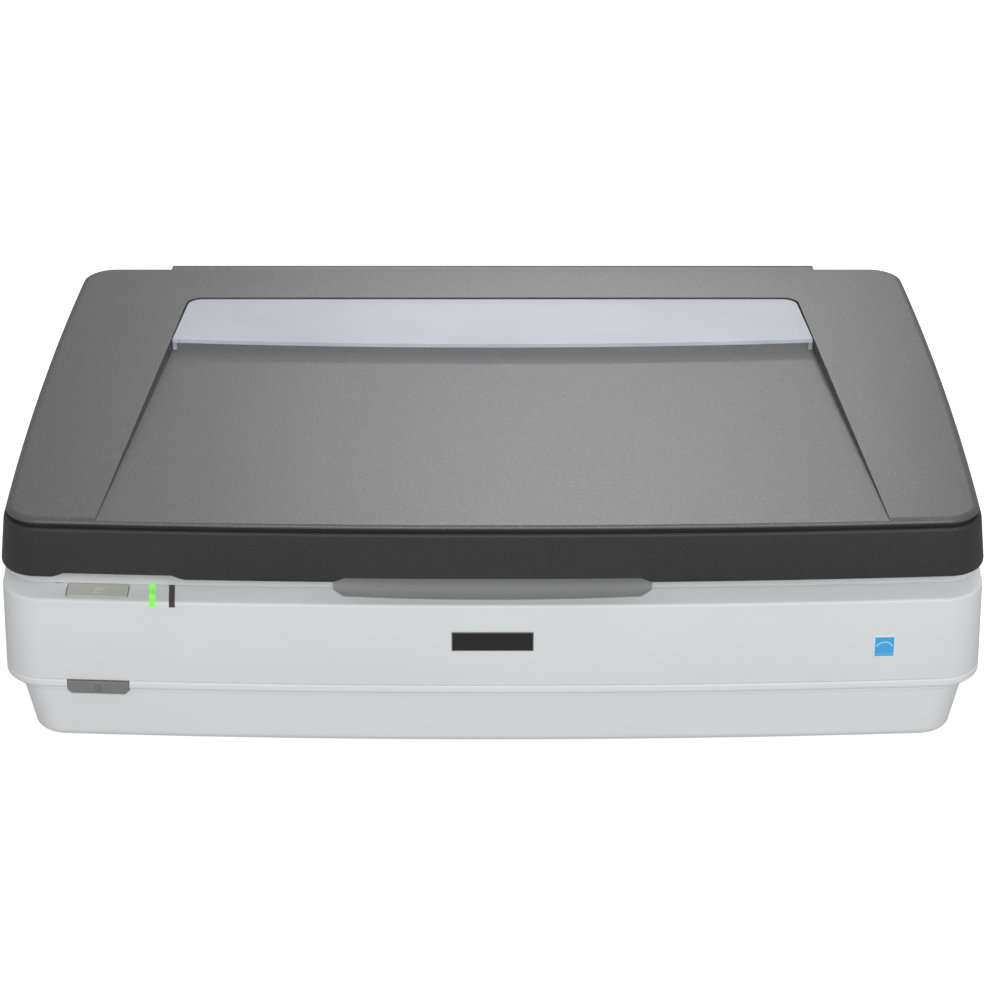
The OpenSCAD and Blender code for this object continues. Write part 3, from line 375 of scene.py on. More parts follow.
class Paint:
    """A material under construction: a principled surface with procedural colour and grain."""

    def __init__(self, name, roughness, metallic=0.0, specular=0.5):
        self.material = bpy.data.materials.new(name)
        self.material.use_nodes = True
        self.tree = self.material.node_tree
        self.surface = self.tree.nodes["Principled BSDF"]
        self.surface.inputs["Roughness"].default_value = roughness
        self.surface.inputs["Metallic"].default_value = metallic
        self.surface.inputs["Specular IOR Level"].default_value = specular
        self.where = self.tree.nodes.new("ShaderNodeTexCoord").outputs["Object"]

    def node(self, kind, **settings):
        made = self.tree.nodes.new(kind)
        for name, value in settings.items():
            setattr(made, name, value)
        return made

    def link(self, source, target):
        self.tree.links.new(source, target)

    def stretched(self, stretch):
        """Object coordinates scaled along each axis."""
        mapping = self.node("ShaderNodeMapping")
        mapping.inputs["Scale"].default_value = stretch
        self.link(self.where, mapping.inputs["Vector"])
        return mapping.outputs["Vector"]

    def noise(self, size, detail=2.0, stretch=None):
        """Noise whose features are about size across."""
        made = self.node("ShaderNodeTexNoise")
        made.inputs["Scale"].default_value = 1 / size
        made.inputs["Detail"].default_value = detail
        self.link(self.stretched(stretch) if stretch else self.where, made.inputs["Vector"])
        return made.outputs["Fac"]

    def cells(self, size):
        """Random cells about size across, each with a value of its own."""
        made = self.node("ShaderNodeTexVoronoi")
        made.inputs["Scale"].default_value = 1 / size
        self.link(self.where, made.inputs["Vector"])
        return made.outputs["Color"]

    def ramp(self, factor, stops):
        """A colour ramp over factor; stops are (position, colour)."""
        made = self.node("ShaderNodeValToRGB")
        elements = made.color_ramp.elements
        while len(elements) < len(stops):
            elements.new(0.5)
        for element, (position, colour) in zip(elements, stops):
            element.position = position
            element.color = colour
        self.link(factor, made.inputs["Fac"])
        return made.outputs["Color"]

    def colour(self, factor, stops):
        self.link(self.ramp(factor, stops), self.surface.inputs["Base Color"])
        return self

    def rough(self, factor, low, high):
        """Roughness that wanders between low and high."""
        made = self.node("ShaderNodeMapRange")
        made.inputs["To Min"].default_value = low
        made.inputs["To Max"].default_value = high
        self.link(factor, made.inputs["Value"])
        self.link(made.outputs["Result"], self.surface.inputs["Roughness"])
        return self

    def bump(self, height, depth):
        """Grain that stands depth above the surface."""
        made = self.node("ShaderNodeBump")
        made.inputs["Distance"].default_value = depth
        made.inputs["Strength"].default_value = 1.0
        self.link(height, made.inputs["Height"])
        self.link(made.outputs["Normal"], self.surface.inputs["Normal"])
        return self


def shade(colour, factor):
    return tuple(c * factor for c in colour[:3]) + (1.0,)


def moulded(name, colour, roughness, grain, depth, variation=0.04, specular=0.5):
    """Moulded plastic: fine grain over a faint cloudiness."""
    paint = Paint(name, roughness, specular=specular)
    cloud = paint.noise(60 * MM, 3)
    paint.colour(cloud, [(0.3, shade(colour, 1 - variation)), (0.7, shade(colour, 1 + variation))])
    fine = paint.noise(grain, 3)
    paint.rough(fine, roughness - 0.06, roughness + 0.06)
    return paint.bump(fine, depth).material


def metallic_paint(name):
    """Grey metallic paint on the lid, with a fine sparkle."""
    paint = Paint(name, 0.45, 0.35)
    flakes = paint.cells(0.6 * MM)
    split = paint.node("ShaderNodeSeparateColor")
    paint.link(flakes, split.inputs["Color"])
    paint.colour(split.outputs["Red"], [
        (0.0, grey(89)), (0.75, grey(95)), (0.95, grey(103)), (1.0, grey(120)),
    ])
    paint.rough(split.outputs["Green"], 0.4, 0.48)
    return paint.bump(paint.noise(0.9 * MM, 2), 0.02 * MM).material


def charcoal_plastic(name):
    """Spark-eroded charcoal plastic of the lid's skirt."""
    paint = Paint(name, 0.55, specular=0.45)
    grain = paint.noise(0.9 * MM, 4)
    paint.colour(grain, [(0.35, grey(43)), (0.65, grey(55))])
    paint.rough(grain, 0.48, 0.62)
    return paint.bump(grain, 0.08 * MM).material


def smoke_plate(name):
    """Pale translucent plate over the document pocket."""
    paint = Paint(name, 0.48)
    haze = paint.noise(90 * MM, 2)
    paint.colour(haze, [(0.3, tone(188, 190, 200)), (0.7, tone(197, 199, 209))])
    paint.surface.inputs["Transmission Weight"].default_value = 0.4
    paint.surface.inputs["IOR"].default_value = 1.49
    return paint.bump(paint.noise(0.8 * MM, 2), 0.01 * MM).material


def clear_glass(name):
    paint = Paint(name, 0.02)
    paint.colour(paint.noise(200 * MM, 1), [(0.0, tone(226, 238, 234)), (1.0, tone(232, 242, 238))])
    paint.surface.inputs["Transmission Weight"].default_value = 1.0
    paint.surface.inputs["IOR"].default_value = 1.52
    return paint.bump(paint.noise(120 * MM, 1), 0.01 * MM).material


def lit_window(name):
    """Green indicator window with its lamp on."""
    paint = Paint(name, 0.55, specular=0.15)
    glow = paint.noise(6 * MM, 1)
    paint.colour(glow, [(0.2, tone(80, 205, 50)), (0.8, tone(150, 245, 110))])
    paint.link(paint.ramp(glow, [(0.2, tone(70, 210, 40)), (0.8, tone(150, 250, 90))]),
               paint.surface.inputs["Emission Color"])
    paint.surface.inputs["Emission Strength"].default_value = 0.55
    return paint.material


def metal(name, colour, roughness, brushed=(1, 1, 1), grain=0.6 * MM):
    """Bare metal with a directional grain."""
    paint = Paint(name, roughness, 1.0)
    streak = paint.noise(grain, 4, brushed)
    paint.colour(streak, [(0.3, shade(colour, 0.9)), (0.7, shade(colour, 1.06))])
    paint.rough(streak, roughness - 0.07, roughness + 0.1)
    return paint.bump(streak, 0.01 * MM).material


def circuit(name):
    """Solder-masked board with paler tracks."""
    paint = Paint(name, 0.35)
    bricks = paint.node("ShaderNodeTexBrick")
    bricks.inputs["Scale"].default_value = 90
    bricks.inputs["Color1"].default_value = tone(20, 92, 52)
    bricks.inputs["Color2"].default_value = tone(16, 80, 44)
    bricks.inputs["Mortar"].default_value = tone(52, 128, 78)
    bricks.inputs["Mortar Size"].default_value = 0.03
    paint.link(paint.where, bricks.inputs["Vector"])
    paint.link(bricks.outputs["Color"], paint.surface.inputs["Base Color"])
    return paint.bump(paint.noise(0.7 * MM, 2), 0.02 * MM).material


CASE = moulded("case_plastic", tone(226, 229, 229), 0.42, 0.7 * MM, 0.015 * MM, 0.012)
# mid-grey of the finger recess: the insert's own colour in the scoop, and painted shade on the wall that
# stands above the seam under the lid
GRIP_GREY_AND_SHADE = moulded("grip_plastic_and_painted_shade", tone(160, 163, 162), 0.5, 0.7 * MM, 0.02 * MM)
GREY = moulded("grey_plastic", grey(126), 0.5, 0.7 * MM, 0.02 * MM)
BUTTON = moulded("button_plastic", tone(198, 198, 193), 0.42, 0.6 * MM, 0.015 * MM)
SKIRT = charcoal_plastic("skirt_plastic")
LID = metallic_paint("lid_paint")
PLATE = smoke_plate("pocket_plate_plastic")
GLASS = clear_glass("platen_glass")
WHITE = moulded("white_plastic", grey(238), 0.6, 0.5 * MM, 0.02 * MM, 0.01)
MAT = moulded("mat_foil", grey(240), 0.55, 1.2 * MM, 0.05 * MM, 0.01)
BLACK = moulded("black_plastic", grey(27), 0.55, 0.6 * MM, 0.012 * MM, 0.1)
DARK = moulded("dark_window", tone(82, 76, 75), 0.5, 1.0 * MM, 0.005 * MM, specular=0.2)
GREEN = lit_window("green_window")
PAPER = moulded("label_paper", grey(236), 0.4, 0.8 * MM, 0.004 * MM, 0.01)
# painted highlight: the raised scan mark is coloured much paler than its button, standing in for the light
# its strokes catch
MARK_HIGHLIGHT = moulded("button_mark_painted_highlight", grey(236), 0.4, 0.6 * MM, 0.01 * MM)
GLYPH = moulded("power_mark_plastic", grey(88), 0.4, 0.6 * MM, 0.01 * MM)
BLUE = moulded("label_film", tone(66, 172, 232), 0.3, 1.0 * MM, 0.003 * MM)
RUBBER = moulded("rubber", grey(28), 0.8, 0.5 * MM, 0.06 * MM, 0.15)
SHEET = metal("sheet_steel", grey(190), 0.36, (1, 6, 6), 3 * MM)
BRIGHT = metal("bright_steel", grey(205), 0.2, (1, 10, 10), 3 * MM)
DULL = metal("spring_steel", grey(110), 0.4)
POST = moulded("post_paint", grey(70), 0.45, 0.6 * MM, 0.03 * MM)
BRONZE = metal("bronze", tone(186, 146, 92), 0.42)
GOLD = metal("plated_brass", tone(214, 184, 120), 0.3)
BOARD = circuit("circuit_board")
MIRROR = metal("mirror", grey(235), 0.06)
LAMP = moulded("lamp_glass", grey(246), 0.2, 2 * MM, 0.004 * MM, 0.01)
CABLE = moulded("cable_film", grey(226), 0.45, 1.5 * MM, 0.01 * MM)

SLOT_LOOKS = {
    "case_plastic": CASE, "grey_plastic": GREY, "button_plastic": BUTTON, "lid_plastic": SKIRT,
    "lid_paint": LID, "smoke_plate": PLATE, "platen_glass": GLASS, "white_plastic": WHITE,
    "mat_foam": MAT, "black_plastic": BLACK, "dark_window": DARK, "green_window": GREEN,
    "label_blue": BLUE, "black_rubber": RUBBER, "belt_rubber": RUBBER, "sheet_steel": SHEET,
    "bright_steel": BRIGHT, "spring_steel": DULL, "painted_steel": POST, "bronze": BRONZE,
    "brass_pins": GOLD, "circuit_board": BOARD, "mirror": MIRROR, "lamp_glass": LAMP,
    "reflector": BRIGHT, "cable_film": CABLE,
}


def dress_frame():
    """Gives every CAD node the look of its slot and slightly rounded edges."""
    for part in frame["record"]["subparts"]:
        thing = frame["nodes"][part["node"]]
        thing.data.materials.clear()
        thing.data.materials.append(SLOT_LOOKS[part["material_slot"]])
        if "custom_normal" in thing.data.attributes:
            thing.data.attributes.remove(thing.data.attributes["custom_normal"])
        weld = thing.modifiers.new("weld", "WELD")
        weld.merge_threshold = 0.001 * MM
        soften(thing, 0.2 * MM)


# ---------- cases ----------

def lower_case():
    """The tub: a rolled foot, walls drawn in under a flange, and the flange's round brim."""
    floor = [FOOT_H, 24, 12, 6, -10]
    turned = [FOOT_H + 6 * MM, 17.7, 6.3, 2, -7]
    under = [SEAM_Z - 8 * MM, 11.2, 4.3, 2, -7]
    lip = [SEAM_Z - 5.8 * MM, 4, 4, 1, -2.5]
    belly = [SEAM_Z - 3.4 * MM, 0.1, 2.6, 0.1, 0]
    brim = [SEAM_Z - 0.8 * MM, 0.1, 2.8, 0.1, 0]
    seam = [SEAM_Z, 0.8, 3.6, 0.8, -0.7]
    levels = [floor] + eased(floor, turned, 8, True) + [turned, under] + eased(under, lip, 6, True)
    levels += [lip] + eased(lip, belly, 6, True) + [belly, brim] + eased(brim, seam, 4) + [seam]
    body = loft("lower_case_shell", levels)
    cut(body, loft("hollow", [
        [FOOT_H + 3 * MM, 26, 14, 8, -13], [FOOT_H + 6 * MM, 21, 9.5, 5.5, -10],
        [SEAM_Z + 1 * MM, 13.5, 7.3, 4.8, -10],
    ]))
    cut(body, power_outline("slot", GAP, 2 * MM, (-8 * MM, 12 * MM)))
    for low, high, rise in rear_openings():
        cut(body, box("opening", (low, high), (REAR_WALL_Y - 6 * MM, MAIN_REAR + 2 * MM), rise))
    return finish_piece(body, CASE, "base", ["lower_case"], 0.3 * MM)


def rear_openings():
    """The openings round the rear ports and the mains inlet, from their own pieces."""
    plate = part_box("rear_connector_plate")
    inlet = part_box("ac_inlet")
    return [
        (plate[0].x - 0.2 * MM, plate[1].x + 0.2 * MM, (plate[0].z - 0.2 * MM, plate[1].z + 0.2 * MM)),
        (inlet[0].x + 1.5 * MM, inlet[1].x - 1.5 * MM, (inlet[0].z + 1.3 * MM, inlet[1].z - 1.3 * MM)),
    ]


def shelf_levels():
    """Outside of the upper case, from the seam to the back of the control shelf."""
    seam = [SEAM_Z, 0.9, 4.6, 0.8, -0.8]
    start = [SEAM_Z + 0.9 * MM, 0, 3.7, 0, 0]
    wall = [SHELF_Z - 2 * MM, 1, 6.5, 0.5, 0]
    edge = [SHELF_Z + 0.15 * MM, 1.3, 9.2, 0.8, 0]
    back = [FRAME_Z, 1.6, 22.8, 1, 0]
    return [seam] + eased(seam, start, 4, True) + [start, wall] + eased(wall, edge, 6) + [edge, back]


def upper_case():
    """Front wall, control shelf and hinge housing, opened for everything that sits in them."""
    body = loft("upper_case_shell", shelf_levels())
    cut(body, loft("hollow", [
        [SEAM_Z - 1 * MM, 5, 8, 4, -3], [SHELF_Z - 3.4 * MM, 4.5, 10.5, 4, -3],
        [SHELF_Z + 0.1 * MM, 6, 25, 5, -6], [FRAME_Z + 1 * MM, 6, 26, 5, -6],
    ]))
    join(body, hinge_housing())
    join(body, control_pad())
    cut(body, prism("grip", grip_outline(0), SHELF_Z - 11 * MM, FRAME_Z + 9 * MM))
    half = START_HALF + START_GAP
    hole = rounded_box("hole", (-half, half), (START_FRONT - START_GAP, START_FRONT + START_D + START_GAP),
                       (-7 * MM, 6 * MM), START_R + START_GAP)
    cut(body, on_shelf(hole, START_X))
    for x in (STATUS_X, ERROR_X):
        cut(body, at_window(window_form("pocket", 0.02 * MM, True), x))
    cut(body, lock_window())
    return finish_piece(body, CASE, "base", ["upper_case"], 0.3 * MM)


def hinge_housing():
    """The housing behind the case, with a mouth over each hinge socket."""
    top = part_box("hinge_sockets")[1].z - 1 * MM
    inside, outside = HOUSING_HALF - HOUSING_WALL, HOUSING_HALF + 1 * MM
    body = rounded_box("housing", (-HOUSING_HALF, HOUSING_HALF), (MAIN_REAR - 2 * MM, REAR - 1 * MM),
                       (SEAM_Z + 1 * MM, top), 1.8 * MM)
    cut(body, box("hollow", (-inside, inside), (MAIN_REAR + 2.5 * MM, REAR - 3.5 * MM),
                  (SEAM_Z + 4 * MM, top - HOUSING_WALL)))
    cut(body, box("clearance", (-outside, outside), (MAIN_REAR - 4 * MM, MAIN_REAR - 0.9 * MM),
                  (FRAME_Z, top + 1 * MM)))
    for side in (-1, 1):
        x = side * HINGE_X
        cut(body, box("mouth", (x - MOUTH_HALF, x + MOUTH_HALF), (HINGE_Y - MOUTH_D, HINGE_Y + MOUTH_D),
                      (top - 4 * MM, top + 1 * MM)))
    return body


def control_pad():
    """The shelf's continuation under the lid, round the controls."""
    rise = PAD_D * math.tan(SHELF_SLOPE)
    pad = loft("pad", [
        [FRAME_Z - 3 * MM, 3, 20, 3, 0], [FRAME_Z, 3, 22.8, 3, 0],
        [FRAME_Z + rise, 3, 22.8 + PAD_D / MM, 3, 0],
    ])
    crop(pad, box("limits", (CONTROLS[0] + 2 * MM, CONTROLS[1] - 2 * MM),
                  (FRONT, SHELF_REAR + PAD_D + FRONT_BOW), (FRAME_Z - 4 * MM, FRAME_Z + rise + 1 * MM)))
    return pad


def lock_window():
    """The slot on the left side that shows the transport lock."""
    return box("window", (-HALF_W - 3 * MM, -HALF_W + 9 * MM), (WIDEST_Y - 20 * MM, WIDEST_Y + 20 * MM),
               (67 * MM, 77 * MM))


def grip_outline(inset):
    """Plan of the finger recess, drawn in by inset: an arched front edge and slanted ends."""
    reach = GRIP_HALF - 7 * MM - inset
    front = [(reach * i / 20, GRIP_FRONT + inset + 3.4 * MM * (i / 20) ** 2) for i in range(-20, 21)]
    wide, mid, back = GRIP_HALF - inset, SHELF_REAR - 0.5 * MM, SHELF_REAR + 2.2 * MM - inset
    return front + [(wide, mid), (wide, back), (-wide, back), (-wide, mid)]


def grip_insert():
    """The finger recess's lining: a scoop set flush in the shelf, with a wall that stands up behind it. The
    scoop's grey is the insert's own; on the wall the same grey is painted shade from the lid's overhang.
    """
    floor = SHELF_Z - 8.5 * MM
    body = prism("grip_insert_lining", grip_outline(0.02 * MM), SHELF_Z - 11 * MM, FRAME_Z + 9 * MM)
    crop(body, loft("shelf", shelf_levels()))
    # painted shade: this grey wall covers pale frame plastic under the lid, its colour standing in for the
    # lid's shade there
    join(body, box("wall", (-GRIP_HALF, GRIP_HALF), (SHELF_REAR + 0.2 * MM, SHELF_REAR + 2.2 * MM),
                   (FRAME_Z - 1 * MM, FRAME_Z + 9 * MM)))
    scoop = along_x("scoop", [
        (GRIP_FRONT, FRAME_Z + 1 * MM), (GRIP_FRONT + 1.4 * MM, SHELF_Z - 1.5 * MM),
        (GRIP_FRONT + 3 * MM, SHELF_Z - 6 * MM), (GRIP_FRONT + 5.5 * MM, floor),
        (SHELF_REAR - 1.5 * MM, floor), (SHELF_REAR + 0.2 * MM, floor + 2 * MM),
        (SHELF_REAR + 0.2 * MM, FRAME_Z + 10 * MM), (GRIP_FRONT, FRAME_Z + 10 * MM),
    ], -GRIP_HALF, GRIP_HALF)
    crop(scoop, prism("rim", grip_outline(1.4 * MM), floor - 1 * MM, floor + 40 * MM))
    cut(body, scoop)
    return finish_piece(body, GRIP_GREY_AND_SHADE, "base", ["grip_insert"], 0.35 * MM)


# ---------- controls and badges ----------

def window_form(name, extra, pocket=False):
    """An indicator window in shelf coordinates, wrapped over the shelf's front edge; or its pocket."""
    half = WINDOW_HALF + extra
    low, floor, proud, rear = -3.2, -1.4, 0.22, 18.2
    if pocket:
        above, before, behind = 4, -6, rear + 0.1
        section = [(before, low), (before, above), (behind, above), (behind, floor)]
    else:
        rolled = [(-3.1, low), (-2.75, -1.9), (-2.3, -0.75), (-1.3, -0.05), (-0.2, proud)]
        section = rolled + [(rear, proud), (rear, floor)]
    section += [(1, floor), (1, low)]
    return along_x(name, [(y * MM, z * MM) for y, z in section], -half, half)


def at_window(thing, x):
    """Moves a window onto the shelf, turned a little outwards as it runs back."""
    place(thing, (x, SHELF_FRONT + bow_at(x), SHELF_Z), SHELF_SLOPE, WINDOW_TURN)
    return thing


def indicator(node, x, material):
    """A small window with rounded edges."""
    body = at_window(window_form(node + "_lens", 0), x)
    return finish_piece(body, material, "base", [node], 0.3 * MM)


def start_button():
    """Slightly crowned button with a raised generic scan mark, whose pale colour is a painted highlight on
    its strokes.
    """
    crown = [(-6, 0), (0.05, 0), (0.35, 0.12), (0.55, 0.45), (0.6, 1.0), (0.6, 3.0)]
    least_r = 0.5 * MM
    rings = []
    for z, inset in crown:
        r = max(START_R - inset * MM, least_r)
        x = START_HALF - inset * MM
        y = (START_FRONT + inset * MM, START_FRONT + START_D - inset * MM)
        rings.append([(px, py, z * MM) for px, py in rounded_rectangle((-x, x), y, r, 6)])
    body = from_rings("start_button_cap", rings)
    on_shelf(body, START_X)
    reach = START_HALF + 2 * MM
    flange = box("flange", (-reach, reach), (START_FRONT + 1.5 * MM, START_D), (-6.2 * MM, -4.8 * MM))
    join(body, on_shelf(flange, START_X))
    finish_piece(body, BUTTON, "start_button", ["start_button"], 0)
    body.data.set_sharp_from_angle(angle=math.radians(40))
    mark = scan_mark(START_FRONT + START_D / 2)
    on_shelf(mark, START_X)
    # the mark's pale colour is painted highlight on the raised strokes
    finish_piece(mark, MARK_HIGHLIGHT, "start_button", [], 0)


def scan_mark(middle):
    """Three slanted strokes over a short line, a generic sign for scanning."""
    low, high = 0.5 * MM, 0.68 * MM
    strokes = []
    for i in range(3):
        x = (-1.9 + 1.9 * i) * MM
        slant = [(x, 0), (x + 0.7 * MM, 0), (x + 2.5 * MM, 3.2 * MM), (x + 1.8 * MM, 3.2 * MM)]
        strokes.append([(px, middle - 0.6 * MM + py) for px, py in slant])
    line = [(-2.6, -2.6), (2.6, -2.6), (2.6, -2.1), (-2.6, -2.1)]
    strokes.append([(x * MM, middle + y * MM) for x, y in line])
    mark = prism("start_button_mark", strokes[0], low, high)
    for stroke in strokes[1:]:
        join(mark, prism("stroke", stroke, low, high))
    return mark


def on_seam(thing, drop):
    """Moves a piece made at the origin to the power button's place, drop and a gap under the seam."""
    place(thing, (POWER_X, POWER_FACE_Y + bow_at(POWER_X), SEAM_Z - drop - GAP), 0, bow_angle(POWER_X))
    return thing


def power_outline(name, extra, top, depth):
    """The power button's face with its lower corners cut off, in place on the seam."""
    w, h, chamfer = POWER_HALF + extra, POWER_RISE + extra, 2.6 * MM
    right = [(w - chamfer, -h), (w, chamfer - h), (w, h + top)]
    face = [(-x, z) for x, z in reversed(right)] + right
    rings = [[(x, y, z) for x, z in face] for y in depth]
    return on_seam(from_rings(name, rings), POWER_RISE)


def power_button():
    """Flat button in the case seam with a generic power mark."""
    body = power_outline("power_button_cap", 0, 0, (0, 9 * MM))
    finish_piece(body, GREY, "power_button", ["power_button"], 0.45 * MM)
    mark = on_seam(power_mark(), POWER_RISE + 0.1 * MM)
    finish_piece(mark, GLYPH, "power_button", [], 0)


def power_mark():
    """A ring with a bar in it, standing just out of the button's face."""
    ring = bmesh.new()
    steps, outer, inner, out, back = 40, 2.35 * MM, 2.0 * MM, -0.12 * MM, 0.3 * MM
    for i in range(steps):
        turn = [2 * math.pi * (i + k) / steps for k in (0, 1)]
        corners = []
        for r in (inner, outer):
            for a in turn:
                for y in (out, back):
                    corners.append(ring.verts.new((r * math.cos(a), y, r * math.sin(a))))
        for quad in ((0, 2, 6, 4), (1, 5, 7, 3), (0, 1, 3, 2), (4, 6, 7, 5)):
            ring.faces.new([corners[q] for q in quad])
    bmesh.ops.remove_doubles(ring, verts=ring.verts, dist=0.001 * MM)
    bmesh.ops.recalc_face_normals(ring, faces=ring.faces)
    mesh = bpy.data.meshes.new("power_button_mark")
    ring.to_mesh(mesh)
    ring.free()
    mark = new_object("power_button_mark", mesh)
    join(mark, box("bar", (-0.17 * MM, 0.17 * MM), (out, back), (-1.1 * MM, 1.1 * MM)))
    return mark


def badge(name, half, rise, proud, material, x, z, node):
    """A thin plate on the front wall."""
    plate = box(name, (-half, half), (-proud, 0.6 * MM), (-rise, rise))
    on_front(plate, x, z)
    return finish_piece(plate, material, "base", [node] if node else [], 0.25 * MM)


def badges():
    """The blank name plate, and the blank blue label with its white border and a white arc."""
    z = NAME_PLATE_Z
    badge("name_plate_rim", 27 * MM, 6.9 * MM, 0.5 * MM, GREY, 0, z, "name_plate")
    badge("name_plate_face", 26.5 * MM, 6.4 * MM, 0.68 * MM, BLACK, 0, z, None)
    z = LABEL_Z
    badge("label_border", 7.1 * MM, 7.8 * MM, 0.3 * MM, PAPER, LABEL_X, z, "front_label")
    badge("label_field", 6.5 * MM, 6.3 * MM, 0.34 * MM, BLUE, LABEL_X, z + 0.8 * MM, None)
    badge("label_foot", 6.5 * MM, 0.9 * MM, 0.34 * MM, BLUE, LABEL_X, z - 6.2 * MM, None)
    swoosh(z + 0.8 * MM)


def swoosh(z):
    """A white arc across the label's blue field, in place of its printed sign."""
    inner, outer, proud, drop, steps = 5.6 * MM, 6.1 * MM, 0.38 * MM, 3.2 * MM, 16
    corners = [(inner, -proud), (outer, -proud), (outer, 0), (inner, 0)]
    rings = []
    for i in range(steps + 1):
        a = math.radians(25 + 130 * i / steps)
        rings.append([(r * math.cos(a), y, r * math.sin(a) - drop) for r, y in corners])
    mark = from_rings("label_arc", rings)
    on_front(mark, LABEL_X, z)
    finish_piece(mark, PAPER, "base", [], 0)


# ---------- lid ----------

def pocket_half(y):
    return HALF_W - 87.3 * MM - POCKET_TAPER * y


def pocket_outline(inset, front, rear):
    """Plan of the document pocket back to rear, drawn in by inset."""
    r = POCKET_R - inset
    w, y = pocket_half(rear - POCKET_R) - POCKET_R, rear - POCKET_R
    points = [(inset - pocket_half(front), front), (pocket_half(front) - inset, front)]
    return points + arc(w, y, r, 0) + arc(-w, y, r, 90)


def ramp_at(y):
    """Height of the pocket's ramp at y."""
    return TOP - RAMP_STEP - RAMP_FALL * (y - POCKET_FRONT)


def over_ramp(name, points, drop, top):
    """Everything over a plan from the ramp, lowered by drop, up to top."""
    low = [(x, y, ramp_at(y) - drop) for x, y in points]
    return from_rings(name, [low, [(x, y, top) for x, y in points]])


def lid_top_panel():
    """The painted panel: a rounded rim, and the document pocket's walls and ramp."""
    foot = [PANEL_Z + 0.2 * MM, LID_IN + 6.2, 7, 0.2, LID_R - 3]
    rim = [PANEL_Z + 1.2 * MM, LID_IN + 5, 5.8, -1, LID_R - 2]
    top = [TOP, LID_IN + 10, 10.8, 4, LID_R - 6]
    body = loft("lid_panel", [foot] + eased(foot, rim, 4, True) + [rim] + eased(rim, top, 9) + [top])
    cut(body, loft("hollow", [
        [PANEL_Z - 1 * MM, LID_IN + 9.4, 10.4, 3.8, LID_R - 6],
        [PANEL_Z + 1.6 * MM, LID_IN + 9.6, 10.6, 4, LID_R - 6],
    ]))
    join(body, bump_cap())
    join(body, over_ramp("tray", pocket_outline(-TRAY_WALL, FRONT + 30 * MM, POCKET_REAR + TRAY_WALL),
                         TRAY_WALL, TOP - 1 * MM))
    cut(body, over_ramp("pocket", pocket_outline(0, POCKET_FRONT, POCKET_REAR), 0, TOP + 4 * MM))
    return finish_piece(body, LID, "lid", ["lid_top_panel"], 0.55 * MM)


def bump(name, section, half):
    """A piece of the hump over the hinges: a section along X with rounded ends."""
    body = along_x(name, section, -half, half)
    crop(body, rounded_box("limits", (-half, half), (0, REAR + 1 * MM), (0, TOP + 1 * MM), 18 * MM))
    return body


def bump_cap():
    return bump("cap", [
        (MAIN_REAR - 6 * MM, PANEL_Z + 0.4 * MM), (REAR - 14.5 * MM, PANEL_Z + 0.2 * MM),
        (REAR - 3 * MM, LID_Z + 31.3 * MM), (REAR - 2 * MM, LID_Z + 31.6 * MM),
        (REAR - 14 * MM, PANEL_Z + 3.1 * MM), (MAIN_REAR + 1.4 * MM, PANEL_Z + 3.3 * MM),
        (MAIN_REAR - 6 * MM, PANEL_Z + 3 * MM),
    ], HOUSING_HALF - 3 * MM)


def edge_notch(low, high):
    """What the lid's lower edge is cut back by, between two places along X."""
    slope, top = 8.5 * MM, LID_Z + NOTCH_RISE
    face = [(low - 2 * MM, LID_Z - 1 * MM), (high + 2 * MM, LID_Z - 1 * MM), (high, LID_Z),
            (high - slope, top), (low + slope, top), (low, LID_Z)]
    rings = [[(x, y, z) for x, z in face] for y in (FRONT + NOTCH_D, FRONT - 8 * MM)]
    return from_rings("notch", rings)


def notch_roof(low, high):
    """A rib that closes the lid's inside above a notch and comes down behind it."""
    t, floor = 1.5 * MM, LID_Z + NOTCH_RISE
    back = FRONT + NOTCH_D + 3 * MM
    wide = (low - 1 * MM, high + 1 * MM)
    inside = [LID_IN + 1, 1, 1, LID_R - 1]
    roof = loft("roof", [[floor] + inside, [floor + t] + inside])
    crop(roof, box("limits", wide, (FRONT - 1 * MM, back), (floor - t, floor + 2 * t)))
    join(roof, box("lip", wide, (FRONT + NOTCH_D + GAP, back), (LID_Z + 2.9 * MM, floor + t)))
    return roof


